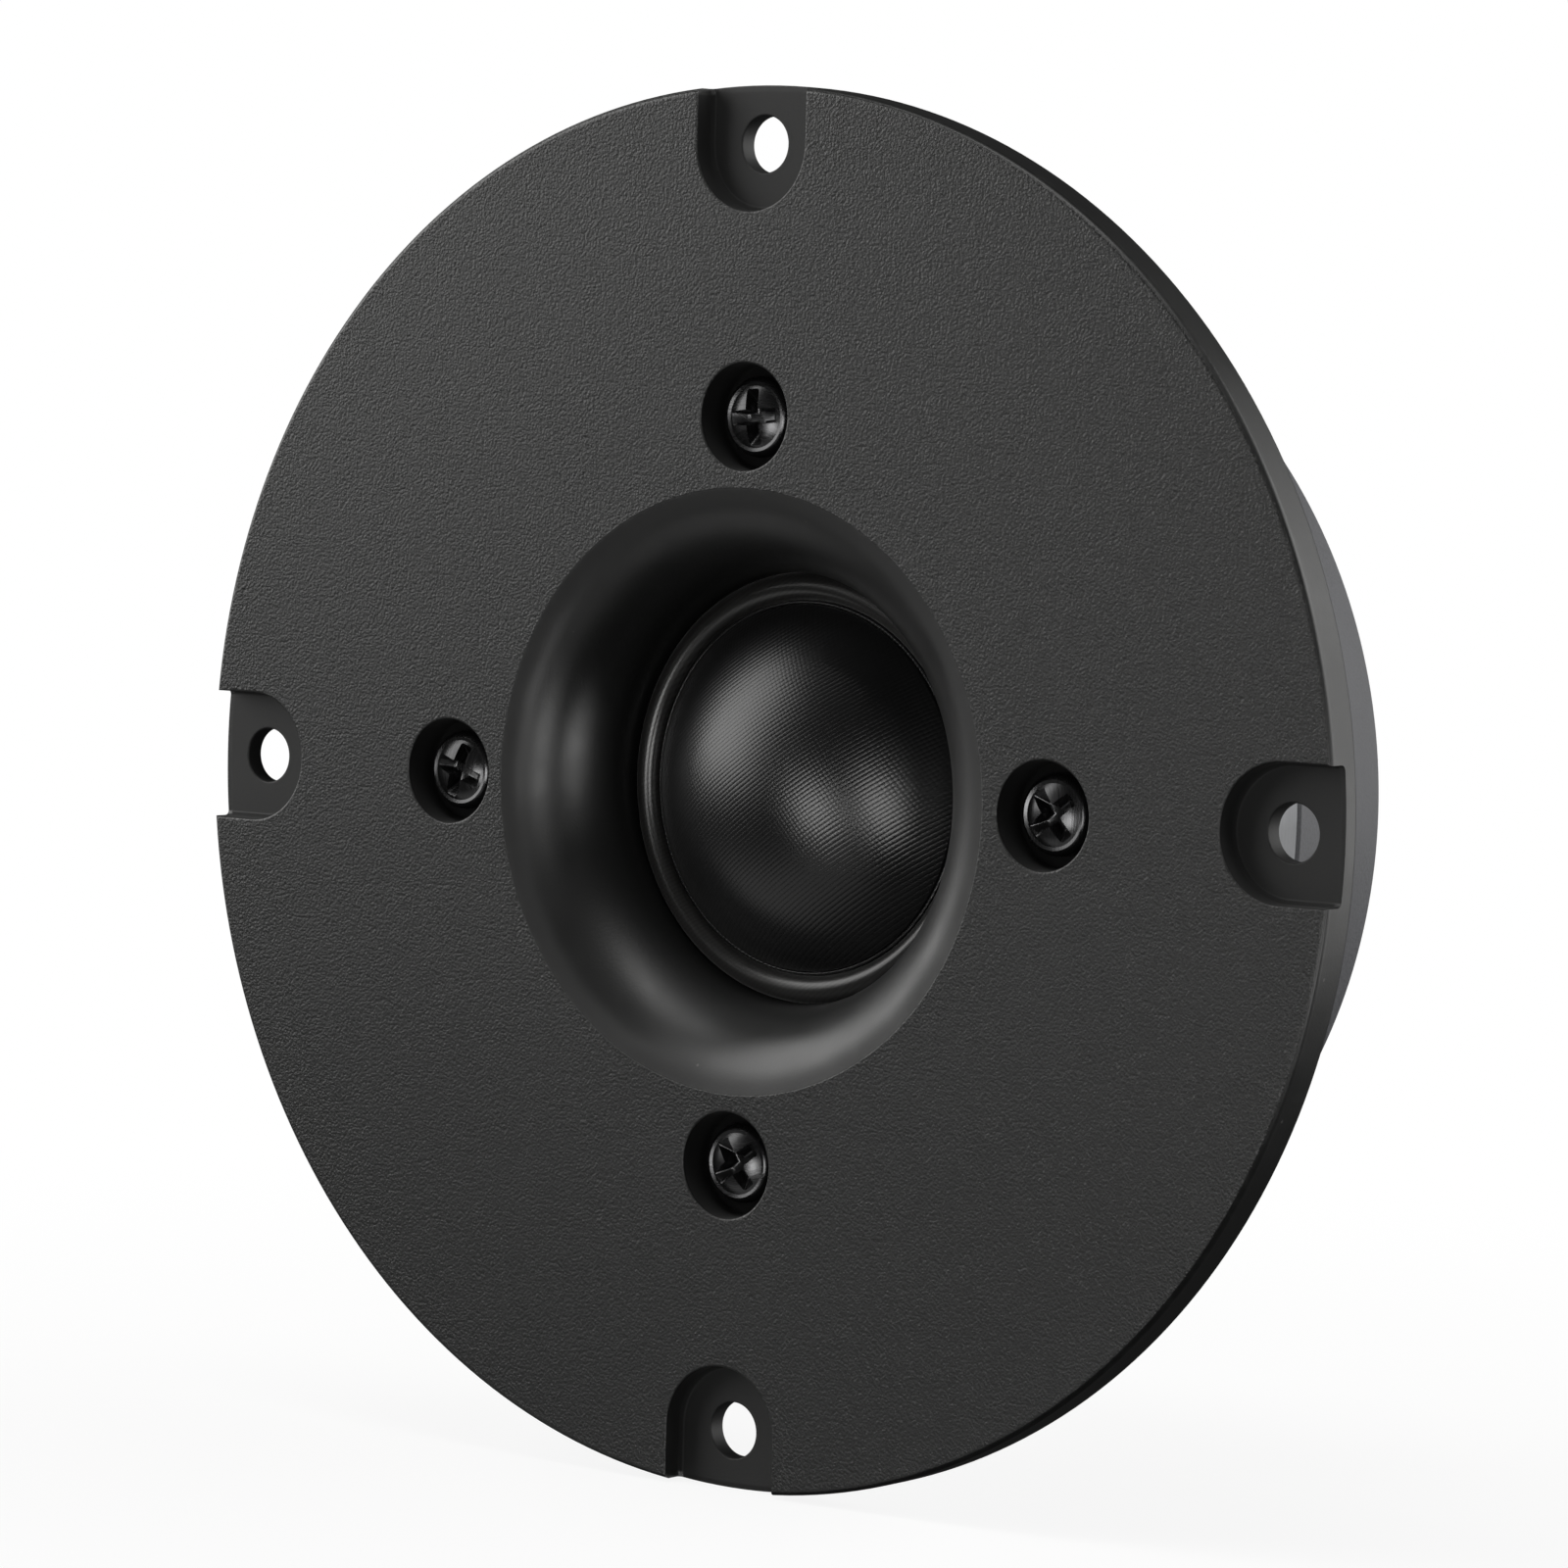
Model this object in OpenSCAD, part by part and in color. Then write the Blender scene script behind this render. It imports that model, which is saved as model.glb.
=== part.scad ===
// Dome tweeter: round screw-down faceplate with a short horn, a 28 mm soft dome
// and a ferrite ring motor behind it.
// The parts are drawn on one axis: z = 0 is the flange's seating face and +z looks
// out of the horn. placed() then stands the tweeter up, so that it faces -Y.

/* [Faceplate] */
// Diameter of the round flange
flange_d = 104; // [100:0.5:140]
// Thickness of the flange
flange_t = 3.2; // [2.8:0.1:6]
// Rounding of the flange's front edge
edge_round = 0.5; // [0.2:0.1:1]
// Radial width of the horn flare, from throat to mouth
flare_run = 6.15; // [4:0.05:9]
// Slope of the flare where it meets the flat face, in degrees
flare_slope = 12; // [4:1:25]
// Depth of the throat's lower lip below the face
throat_depth = 8.84; // [8.4:0.02:11]
// Radial thickness of the throat wall at its lip
lip_w = 4; // [3:0.1:5]
// Thickness of the hub's outer wall
hub_wall = 2.4; // [1.6:0.1:4]
// Thickness of the hub's radial ribs
rib_t = 1.6; // [1:0.1:3]

/* [Mounting holes] */
// Number of holes through the flange
mount_count = 4; // [4:4:8]
// Diameter of each mounting hole
mount_hole_d = 4.2; // [3:0.1:5]
// Distance from a mounting hole's centre to the rim
mount_edge = 4.3; // [3.5:0.1:8]
// Width of the sunk ear round each mounting hole
ear_w = 9.9; // [7:0.1:12]
// Depth of the sunk ear
ear_depth = 1.76; // [1.5:0.02:2.2]
// Fillet between an ear's floor and its wall
ear_fillet = 0.4; // [0.2:0.1:1.2]
// Rounding of the face's edge round each ear and counterbore
lip_round = 0.2; // [0.1:0.05:0.3]

/* [Plate screws] */
// Number of screws that clamp the faceplate to the motor
screw_count = 4; // [2:2:4]
// Thread diameter
screw_d = 3; // [2.5:0.1:4]
// Length under the head
screw_len = 10; // [9.2:0.1:11]
// Head diameter
head_d = 6; // [4.8:0.1:6.6]
// Head height
head_h = 2; // [1.4:0.1:2.4]
// Depth of the head's top below the face
head_sink = 1; // [0.4:0.1:1.4]
// Gap between the head and its counterbore
head_gap = 0.95; // [0.5:0.05:1.6]
// Flat land between the horn's mouth and a counterbore
screw_land = 1.38; // [0.6:0.02:3]
// Tip-to-tip width of the cross recess
cross_span = 4.2; // [3:0.05:4.5]
// Width of each arm of the cross recess
cross_arm = 1.15; // [0.6:0.05:1.6]
// Depth of the cross recess
cross_depth = 1.3; // [0.6:0.1:1.5]
// Gap between a screw's shank and its clearance hole
shank_gap = 0.15; // [0.05:0.05:0.4]

/* [Diaphragm] */
// Outer diameter of the voice coil former
coil_d = 28; // [25:0.5:34]
// Height of the dome over its edge
dome_h = 6.5; // [5:0.1:7.5]
// Thickness of the coated cloth
cloth_t = 0.25; // [0.15:0.05:0.35]
// Outer radius of the surround's half roll
roll_r = 1.05; // [0.8:0.05:1.5]
// Width of the dome's glued rim outside the former
rim_lap = 0.08; // [0.04:0.01:0.12]
// Height of the dome's glued rim
rim_h = 0.18; // [0.1:0.02:0.4]
// Radial width of the surround's clamped flange
clamp_w = 3.7; // [2.5:0.1:4]
// Wall thickness of the former
former_t = 0.12; // [0.08:0.01:0.3]
// Bare length of the former below the winding
former_tail = 0.35; // [0.2:0.05:1]
// Radial thickness of the winding
winding_t = 0.36; // [0.2:0.02:0.6]
// Height of the winding
winding_h = 2.6; // [1.6:0.1:3.4]
// Thickness of the paper collar over the lead-outs
collar_t = 0.1; // [0.05:0.01:0.2]
// Depth of the surround's glued foot
foot_h = 0.76; // [0.4:0.02:1]
// Most that the dome moves each way
travel = 0.5; // [0.2:0.05:0.7]
// Thickness of the diaphragm's carrier ring
ring_t = 1.2; // [1:0.05:2]
// Radial width of the carrier ring
ring_w = 5.9; // [5:0.1:7]
// Thickness of the foam gasket over the surround
gasket_t = 0.3; // [0.2:0.05:0.6]

/* [Motor] */
// Diameter of the ferrite ring magnet
magnet_d = 80; // [78:0.5:100]
// Thickness of the magnet
magnet_t = 11; // [10:0.5:20]
// Gap between the winding and the magnet's bore
magnet_gap = 3.6; // [1:0.1:6]
// Thickness of the front pole plate
top_plate_t = 4; // [3.6:0.1:6]
// Step from the magnet's edge in to the front pole plate
top_step = 0; // [0:0.1:3]
// Thickness of the back plate
back_plate_t = 4; // [3:0.1:6]
// Step from the magnet's edge in to the back plate
back_step = 4; // [1:0.1:8]
// Chamfer on the steel plates and the magnet
motor_chamfer = 0.3; // [0.2:0.1:1.2]
// Radial air gap on each side of the moving coil
air_gap = 0.3; // [0.2:0.05:0.6]
// Thickness of the copper cap on the pole
cap_t = 0.2; // [0.1:0.05:0.4]
// Diameter of the blind chamber in the pole
chamber_d = 10; // [6:0.5:14]
// Depth of the blind chamber
chamber_depth = 13; // [8:0.5:14]
// Diameter of the spigot that holds the pole in the back plate
spigot_d = 14; // [8:0.5:18]
// Outer diameter of the damping felt under the dome
felt_d = 22; // [16:0.5:24]
// Thickness of the damping felt
felt_t = 2; // [1:0.1:2.6]
// Height of the felt plug in the pole chamber
plug_h = 8; // [4:0.5:8]

/* [Terminals] */
// Angle of the terminal block round the axis
terminal_angle = 225; // [225, 315]
// Width of the terminal block
block_w = 20; // [17:0.5:22]
// Thickness of the terminal block
block_t = 3; // [2.4:0.1:3.4]
// Spacing of the two blades
blade_pitch = 10; // [8:0.5:11]
// Width of the positive blade
positive_w = 4.8; // [4:0.1:6.3]
// Width of the negative blade
negative_w = 2.8; // [2.4:0.1:4.8]
// Thickness of the blades
blade_t = 0.5; // [0.3:0.1:0.8]
// Length of a blade outside the block
blade_out = 7.5; // [6:0.5:9]
// Shank diameter of the blade rivets
rivet_d = 2; // [1.5:0.1:2.4]
// Head diameter of the blade rivets
rivet_head_d = 3.6; // [2.8:0.1:4]
// Height of the rivet heads
rivet_head_h = 0.5; // [0.3:0.1:0.8]
// Width of the flat lead-out wires
lead_w = 0.8; // [0.5:0.1:1.2]
// Thickness of the flat lead-out wires
lead_t = 0.15; // [0.1:0.01:0.2]
// Diameter of the solder joints
solder_d = 2.2; // [1.6:0.1:2.6]

/* [Hidden] */
$fn = 120;

// Small working values: an overcut for clean cuts and the gap of a glued joint
over = 1;
glue = 0.02;
// Gap round parts that drop into place
drop_gap = 0.1;

// Faceplate details: wall round a counterbore, step from a boss to the hub's outside,
// and the ring that centres the carrier ring
boss_wall = 1.2;
hub_margin = 1.6;
register_w = 1.5;
// Angle from each rib to the middle of its pair, and the ribs' gap to the pole plate
rib_turn = 12;
rib_rise = 1;
// Wall left inside the terminal window, and the room kept round the wires and rivets
window_wall = 1.5;
lead_room = 3;
// Share of a screw head's height that is rounded over
crown_share = 0.45;
// Step from the horn's throat out to the gasket
gasket_step = 0.2;
// Share of the carrier ring's thickness that the wires pass through
slot_share = 0.65;

// Terminal details: gap behind the block, its step in from the pole plate's edge, its
// rim behind a blade, the rivet's place outward of midway, the solder's gap to the
// blade's end
block_gap = 0.4;
block_step = 2;
blade_inset = 0.6;
rivet_shift = 1;
solder_gap = 0.2;
// A blade's lead-in corner, a rivet tail's depth and the room round it
blade_nose = 0.8;
tail_inset = 0.4;
tail_room = 0.3;
// A wire's height over the pole plate, its gap to the coil and its hump at the ring
lead_lift = 0.35;
lead_gap = 0.15;
lead_hump = 0.12;
// Lengths along a wire: under the ring, clear of the block, its rise and its soldered end
lead_under = 1;
lead_clear = 0.9;
lead_rise = 1.6;
lead_end = 0.6;

// Motor details: the copper cap's skirt below the gap, and the pole's centre mark
cap_skirt = 1;
mark_d = 6;
mark_depth = 1;

// Radii from the coil outwards
former_r = coil_d / 2;
winding_r = former_r + winding_t;
roll_mid = former_r + rim_lap + roll_r + glue;
throat_r = roll_mid + roll_r;
mouth_r = throat_r + flare_run;
clamp_r = throat_r + clamp_w;
ring_in = throat_r + drop_gap;
ring_out = ring_in + ring_w;
counterbore_r = head_d / 2 + head_gap;
screw_r = mouth_r + screw_land + counterbore_r;
boss_r = counterbore_r + boss_wall;
register_in = ring_out + drop_gap;
register_out = register_in + register_w;
hub_r = screw_r + boss_r + hub_margin;
flange_r = flange_d / 2;
mount_r = flange_r - mount_edge;

// Heights from the face backwards
face_z = flange_t;
lip_z = face_z - throat_depth;
base_z = lip_z - gasket_t;
ring_z = base_z - cloth_t;
plate_z = ring_z - ring_t;
magnet_z = plate_z - top_plate_t;
back_z = magnet_z - magnet_t;
rear_z = back_z - back_plate_t;

// Horn flare: an arc that stands upright at the throat
flare_r = flare_run / (1 - sin(flare_slope));
flare_x = throat_r + flare_r;
flare_z = face_z - flare_r * cos(flare_slope);

// Dome and coil
rim_z = base_z + glue;
dome_edge_r = former_r + rim_lap;
dome_edge_z = rim_z + rim_h;
dome_ball = (dome_edge_r * dome_edge_r + dome_h * dome_h) / (2 * dome_h);
dome_ball_z = dome_edge_z + dome_h - dome_ball;
coil_mid_z = plate_z - top_plate_t / 2;
winding_top = coil_mid_z + winding_h / 2;
winding_low = coil_mid_z - winding_h / 2;
foot_z = base_z - foot_h;

// Motor
gap_out = winding_r + air_gap;
cap_r = former_r - former_t - air_gap;
pole_r = cap_r - cap_t;
pole_top = plate_z - cap_t;
magnet_r = magnet_d / 2;
magnet_in = winding_r + magnet_gap;
top_r = magnet_r - top_step;
back_r = magnet_r - back_step;
head_z = face_z - head_sink;
seat_z = head_z - head_h;

// Terminals
block_in = register_out + block_gap;
block_out = top_r - block_step;
block_top = plate_z + block_t;
blade_z = block_top - blade_t;
blade_in = block_in + blade_inset;
rivet_x = (hub_r - hub_wall + blade_in) / 2 + rivet_shift;
solder_x = blade_in + solder_d / 2 + solder_gap;
lead_z = plate_z + lead_lift;
blade_sides = [1, -1];

// How far each screw was turned when it was driven home, from the right anticlockwise
screw_turns = [38, 5, -20, 38];

// Stands the tweeter up, facing -Y
module placed() {
    rotate([90, 0, 0])
        children();
}

// Copies round the axis
module round_axis(count, radius) {
    for (i = [0 : count - 1])
        rotate([0, 0, i * 360 / count])
            translate([radius, 0, 0])
                children();
}

// A plain ring between two radii and two heights
module ring(r_in, r_out, low, high) {
    translate([0, 0, low])
        difference() {
            cylinder(r = r_out, h = high - low);
            translate([0, 0, -over])
                cylinder(r = r_in, h = high - low + 2 * over);
        }
}

// A ring with chamfered outer edges
module chamfered_ring(r_in, r_out, low, high, chamfer) {
    rotate_extrude()
        polygon([[r_in, low], [r_out - chamfer, low], [r_out, low + chamfer],
            [r_out, high - chamfer], [r_out - chamfer, high], [r_in, high]]);
}

// Section of the horn's opening: throat, flare arc and mouth
module horn_opening() {
    translate([0, lip_z - over])
        square([throat_r, throat_depth + 2 * over]);
    difference() {
        translate([0, flare_z])
            square([mouth_r, flare_r * cos(flare_slope)]);
        translate([flare_x, flare_z])
            circle(r = flare_r);
    }
    translate([0, face_z - glue])
        square([mouth_r, over]);
}

// Section of the flange and the throat wall
module plate_section() {
    difference() {
        union() {
            square([flange_r - edge_round, flange_t]);
            square([flange_r, flange_t - edge_round]);
            translate([flange_r - edge_round, flange_t - edge_round])
                circle(r = edge_round);
            translate([0, lip_z])
                square([throat_r + lip_w, -lip_z]);
            translate([register_in, plate_z])
                square([register_out - register_in, -plate_z]);
            translate([hub_r - hub_wall, plate_z])
                square([hub_wall, -plate_z]);
        }
        horn_opening();
    }
}

// Ribs of the hub, in pairs between the screw bosses
module hub_ribs() {
    for (turn = [45 : 90 : 315])
        for (side = [-1, 1])
            rotate([0, 0, turn + rib_turn * side])
                translate([register_out - glue, -rib_t / 2, plate_z + rib_rise])
                    cube([hub_r - hub_wall - register_out + 2 * glue, rib_t,
                        glue - plate_z - rib_rise]);
}

// Opening in the hub's rear for the terminal block and its wires
module block_window() {
    rotate([0, 0, terminal_angle])
        translate([clamp_r + window_wall, -block_w / 2 - drop_gap, plate_z - over])
            cube([hub_r - clamp_r, block_w + 2 * drop_gap, block_t + over]);
    rotate([0, 0, terminal_angle])
        translate([register_in - over, -blade_pitch / 2 - lead_room, plate_z - over])
            cube([rivet_x - register_in + lead_room, blade_pitch + 2 * lead_room,
                over - plate_z]);
}

// Half section of a sunk pocket: filleted floor, upright wall and rounded top edge
module pocket_section(half_w, depth, fillet) {
    square([half_w - fillet, depth + over]);
    translate([0, fillet])
        square([half_w, depth - fillet + over]);
    translate([half_w - fillet, fillet])
        circle(r = fillet);
    difference() {
        translate([0, depth - lip_round])
            square([half_w + lip_round, lip_round + over]);
        translate([half_w + lip_round, depth - lip_round])
            circle(r = lip_round);
    }
}

// One sunk ear, open to the rim
module ear_cut() {
    translate([0, 0, face_z - ear_depth])
        rotate_extrude()
            pocket_section(ear_w / 2, ear_depth, ear_fillet);
    translate([0, 0, face_z - ear_depth])
        rotate([90, 0, 90])
            linear_extrude(height = mount_edge + over)
                for (side = [0, 1])
                    mirror([side, 0])
                        pocket_section(ear_w / 2, ear_depth, ear_fillet);
    translate([0, 0, -over])
        cylinder(d = mount_hole_d, h = flange_t + 2 * over);
}

// One plate screw's clearance hole and counterbore
module screw_cut() {
    translate([0, 0, seat_z])
        rotate_extrude()
            pocket_section(counterbore_r, face_z - seat_z, lip_round);
    translate([0, 0, plate_z - over])
        cylinder(r = screw_d / 2 + shank_gap, h = seat_z - plate_z + 2 * over);
}

module faceplate() {
    color([0.17, 0.17, 0.18])
        placed()
            difference() {
                union() {
                    rotate_extrude()
                        plate_section();
                    round_axis(screw_count, screw_r)
                        translate([0, 0, plate_z])
                            cylinder(r = boss_r, h = -plate_z + glue);
                    hub_ribs();
                }
                round_axis(mount_count, mount_r)
                    ear_cut();
                round_axis(screw_count, screw_r)
                    screw_cut();
                block_window();
            }
}

// One cross-recessed pan head screw, standing on its head's underside
module plate_screw(turn) {
    crown = head_h * crown_share;
    difference() {
        union() {
            rotate_extrude() {
                square([head_d / 2, head_h - crown]);
                square([head_d / 2 - crown, head_h]);
                translate([head_d / 2 - crown, head_h - crown])
                    circle(r = crown);
            }
            translate([0, 0, -screw_len])
                cylinder(d = screw_d, h = screw_len + glue);
        }
        for (arm = [0, 90])
            rotate([0, 0, turn + arm])
                translate([-cross_span / 2, -cross_arm / 2, head_h - cross_depth])
                    cube([cross_span, cross_arm, cross_depth + over]);
    }
}

module plate_screws() {
    color([0.06, 0.06, 0.06])
        placed()
            for (i = [0 : screw_count - 1])
                rotate([0, 0, i * 360 / screw_count])
                    translate([screw_r, 0, seat_z])
                        plate_screw(screw_turns[i % 4]);
}

module front_gasket() {
    color([0.1, 0.1, 0.1])
        placed()
            ring(throat_r + gasket_step, clamp_r, base_z, lip_z);
}

module surround() {
    color([0.13, 0.13, 0.13])
        placed()
            rotate_extrude() {
                difference() {
                    translate([roll_mid, base_z])
                        circle(r = roll_r);
                    translate([roll_mid, base_z])
                        circle(r = roll_r - cloth_t);
                    translate([0, ring_z - roll_r])
                        square([throat_r + over, roll_r + cloth_t]);
                }
                translate([former_r + glue, foot_z])
                    square([roll_mid - roll_r + cloth_t - former_r - glue, foot_h]);
                translate([throat_r - cloth_t, ring_z])
                    square([clamp_r - throat_r + cloth_t, cloth_t]);
            }
}

module dome() {
    color([0.05, 0.05, 0.05])
        placed()
            rotate_extrude() {
                intersection() {
                    difference() {
                        translate([0, dome_ball_z])
                            circle(r = dome_ball);
                        translate([0, dome_ball_z])
                            circle(r = dome_ball - cloth_t);
                    }
                    translate([0, dome_edge_z])
                        square([dome_edge_r, dome_h + over]);
                }
                translate([former_r - former_t - cloth_t, rim_z])
                    square([rim_lap + former_t + cloth_t, rim_h]);
            }
}

module coil_former() {
    color([0.72, 0.45, 0.16])
        placed()
            ring(former_r - former_t, former_r, winding_low - former_tail, rim_z);
}

module voice_coil() {
    color([0.7, 0.33, 0.14])
        placed()
            ring(former_r, winding_r, winding_low, winding_top);
}

module coil_collar() {
    color([0.62, 0.5, 0.35])
        placed()
            ring(former_r, former_r + collar_t, winding_top, foot_z - glue);
}

module diaphragm_ring() {
    color([0.12, 0.12, 0.13])
        placed()
            difference() {
                ring(ring_in, ring_out, plate_z, ring_z);
                rotate([0, 0, terminal_angle])
                    for (side = blade_sides)
                        translate([0, side * blade_pitch / 2 - lead_w, plate_z - over])
                            cube([ring_out + over, 2 * lead_w, over + ring_t * slot_share]);
            }
}

// A flat wire from the coil, under the ring and up on to its blade
module lead_path() {
    start = sqrt(pow(winding_r + lead_gap, 2) - pow(blade_pitch / 2, 2));
    rise = block_in - lead_clear;
    line = [[start, lead_z], [ring_in, lead_z + lead_hump], [ring_out - lead_under, lead_z],
        [rise - lead_rise, lead_z], [rise, block_top], [solder_x + lead_end, block_top]];
    last = len(line) - 1;
    polygon(concat(line, [for (i = [last : -1 : 0]) line[i] + [0, lead_t]]));
}

// The flat wire on one side of the terminal block
module lead_wire(side) {
    rotate([0, 0, terminal_angle])
        translate([0, side * blade_pitch / 2 + lead_w / 2, 0])
            rotate([90, 0, 0])
                linear_extrude(height = lead_w)
                    lead_path();
}

module positive_lead_wire() {
    color([0.75, 0.42, 0.2])
        placed()
            lead_wire(blade_sides[0]);
}

module negative_lead_wire() {
    color([0.75, 0.42, 0.2])
        placed()
            lead_wire(blade_sides[1]);
}

// A blade lying along the terminal block, with its rivet hole and lead-in end
module blade(side, width) {
    reach = block_out + blade_out;
    rotate([0, 0, terminal_angle])
        translate([0, side * blade_pitch / 2, blade_z])
            difference() {
                linear_extrude(height = blade_t)
                    polygon([[blade_in, -width / 2], [reach - blade_nose, -width / 2],
                        [reach, -width / 2 + blade_nose], [reach, width / 2 - blade_nose],
                        [reach - blade_nose, width / 2], [blade_in, width / 2]]);
                translate([rivet_x, 0, -over])
                    cylinder(d = rivet_d, h = blade_t + 2 * over);
            }
}

module positive_blade() {
    color([0.78, 0.66, 0.36])
        placed()
            blade(blade_sides[0], positive_w);
}

module negative_blade() {
    color([0.78, 0.66, 0.36])
        placed()
            blade(blade_sides[1], negative_w);
}

// Channel, rivet hole and rivet tail pocket for one blade
module blade_seat(side, width) {
    translate([0, side * blade_pitch / 2, 0]) {
        translate([blade_in - drop_gap, -width / 2 - drop_gap, blade_z])
            cube([block_out, width + 2 * drop_gap, blade_t + over]);
        translate([rivet_x, 0, plate_z - over])
            cylinder(d = rivet_d, h = block_t + over);
        translate([rivet_x, 0, plate_z - over])
            cylinder(d = rivet_head_d + 2 * tail_room, h = over + rivet_head_h + tail_inset);
    }
}

module terminal_block() {
    color([0.1, 0.1, 0.11])
        placed()
            rotate([0, 0, terminal_angle])
                difference() {
                    translate([block_in, -block_w / 2, plate_z])
                        cube([block_out - block_in, block_w, block_t]);
                    blade_seat(blade_sides[0], positive_w);
                    blade_seat(blade_sides[1], negative_w);
                }
}

module blade_rivets() {
    tail_z = plate_z + tail_inset;
    color([0.8, 0.68, 0.4])
        placed()
            rotate([0, 0, terminal_angle])
                for (side = blade_sides)
                    translate([rivet_x, side * blade_pitch / 2, 0]) {
                        translate([0, 0, tail_z])
                            cylinder(d = rivet_d, h = block_top - tail_z + glue);
                        translate([0, 0, tail_z])
                            cylinder(d = rivet_head_d, h = rivet_head_h);
                        translate([0, 0, block_top])
                            cylinder(d1 = rivet_head_d, d2 = rivet_d, h = rivet_head_h);
                    }
}

module solder_joints() {
    color([0.75, 0.75, 0.76])
        placed()
            difference() {
                rotate([0, 0, terminal_angle])
                    for (side = blade_sides)
                        translate([solder_x, side * blade_pitch / 2, block_top])
                            intersection() {
                                sphere(d = solder_d);
                                translate([-solder_d, -solder_d, 0])
                                    cube(2 * solder_d);
                            }
                for (side = blade_sides)
                    lead_wire(side);
            }
}

module front_pole_plate() {
    color([0.6, 0.61, 0.63])
        placed()
            difference() {
                chamfered_ring(gap_out, top_r, magnet_z, plate_z, motor_chamfer);
                round_axis(screw_count, screw_r)
                    translate([0, 0, magnet_z - over])
                        cylinder(d = screw_d + 2 * glue, h = top_plate_t + 2 * over);
            }
}

module ring_magnet() {
    color([0.42, 0.42, 0.44])
        placed()
            chamfered_ring(magnet_in, magnet_r, back_z, magnet_z, motor_chamfer);
}

module back_plate() {
    color([0.6, 0.61, 0.63])
        placed()
            chamfered_ring(spigot_d / 2, back_r, rear_z, back_z, motor_chamfer);
}

module pole_piece() {
    color([0.62, 0.63, 0.65])
        placed()
            difference() {
                union() {
                    translate([0, 0, back_z])
                        cylinder(r = pole_r, h = pole_top - back_z);
                    translate([0, 0, rear_z])
                        cylinder(d = spigot_d, h = back_plate_t + glue);
                }
                translate([0, 0, pole_top - chamber_depth])
                    cylinder(d = chamber_d, h = chamber_depth + over);
                translate([0, 0, rear_z - over])
                    cylinder(d1 = mark_d + 2 * over, d2 = mark_d - 2 * mark_depth,
                        h = mark_depth + over);
            }
}

module copper_cap() {
    color([0.8, 0.42, 0.24])
        placed() {
            ring(pole_r, cap_r, magnet_z - cap_skirt, plate_z);
            ring(chamber_d / 2, pole_r + glue, pole_top, plate_z);
        }
}

module dome_felt() {
    color([0.25, 0.25, 0.26])
        placed()
            ring(chamber_d / 2, felt_d / 2, plate_z, plate_z + felt_t);
}

module chamber_felt() {
    color([0.25, 0.25, 0.26])
        placed()
            translate([0, 0, pole_top - chamber_depth])
                cylinder(r = chamber_d / 2 - drop_gap, h = plug_h);
}

faceplate();
plate_screws();
front_gasket();
surround();
dome();
coil_former();
voice_coil();
coil_collar();
diaphragm_ring();
positive_lead_wire();
negative_lead_wire();
terminal_block();
positive_blade();
negative_blade();
blade_rivets();
solder_joints();
front_pole_plate();
ring_magnet();
back_plate();
pole_piece();
copper_cap();
dome_felt();
chamber_felt();
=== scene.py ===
"""The looks of a 28 mm soft dome tweeter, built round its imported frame.

The tweeter stands up and faces -Y. Its outlines are drawn in millimetres as (radius, height
along the axis), where height 0 is the flange's seat and heights grow out of the horn.
"""

import math

import bpy
from mathutils import Matrix, Vector


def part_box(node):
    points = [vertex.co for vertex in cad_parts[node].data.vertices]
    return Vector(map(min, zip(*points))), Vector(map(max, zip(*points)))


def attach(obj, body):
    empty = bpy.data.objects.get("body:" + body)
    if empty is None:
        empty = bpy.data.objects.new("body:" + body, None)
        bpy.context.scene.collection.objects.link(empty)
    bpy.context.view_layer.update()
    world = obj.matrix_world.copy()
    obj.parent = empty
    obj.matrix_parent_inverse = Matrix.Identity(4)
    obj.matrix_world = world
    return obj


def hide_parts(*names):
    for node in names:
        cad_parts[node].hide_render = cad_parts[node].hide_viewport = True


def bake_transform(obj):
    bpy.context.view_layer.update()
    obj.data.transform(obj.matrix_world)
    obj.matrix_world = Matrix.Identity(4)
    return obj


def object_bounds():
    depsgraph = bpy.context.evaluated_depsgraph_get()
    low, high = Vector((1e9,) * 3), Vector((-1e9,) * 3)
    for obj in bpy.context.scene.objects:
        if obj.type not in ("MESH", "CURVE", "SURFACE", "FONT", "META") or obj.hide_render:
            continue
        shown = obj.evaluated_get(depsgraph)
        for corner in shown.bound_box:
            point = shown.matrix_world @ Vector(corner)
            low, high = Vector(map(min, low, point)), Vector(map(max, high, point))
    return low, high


bl_info = {
    "name": "Soft dome tweeter",
    "version": (1, 0, 0),
    "blender": (4, 5, 0),
    "location": "3D View > Sidebar > Tweeter",
    "description": "Models and finishes a screw-down dome tweeter round its CAD frame",
    "category": "Add Mesh",
}

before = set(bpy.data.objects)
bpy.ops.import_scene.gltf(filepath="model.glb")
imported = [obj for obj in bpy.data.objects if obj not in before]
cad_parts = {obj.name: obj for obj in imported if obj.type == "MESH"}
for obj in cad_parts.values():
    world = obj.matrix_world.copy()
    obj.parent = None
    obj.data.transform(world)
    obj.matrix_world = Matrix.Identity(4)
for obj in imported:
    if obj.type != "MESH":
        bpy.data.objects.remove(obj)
CAD_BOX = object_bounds()

MM = 0.001
FINE_STEP = 7.5  # degrees between the points of an arc
TURN_STEPS = 256  # faces round a turned piece
SMALL_STEPS = 64  # faces round a hole or a boss
PIN_STEPS = 48  # faces round a rivet
MERGE_GAP = 2e-6
OVERCUT = 1.0  # how far a cutter runs past a face
CHASSIS = "chassis"
DIAPHRAGM = "diaphragm"
QUARTERS = (0, 90, 180, 270)
TERMINAL_TURN = 225  # angle to the terminals, anticlockwise from the right
TERMINAL_SIDE = 5  # from the terminals' middle line to each blade


def outer_radius(node):
    """Outer radius of a CAD node about the tweeter's axis, in mm."""
    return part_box(node)[1].x / MM


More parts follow.
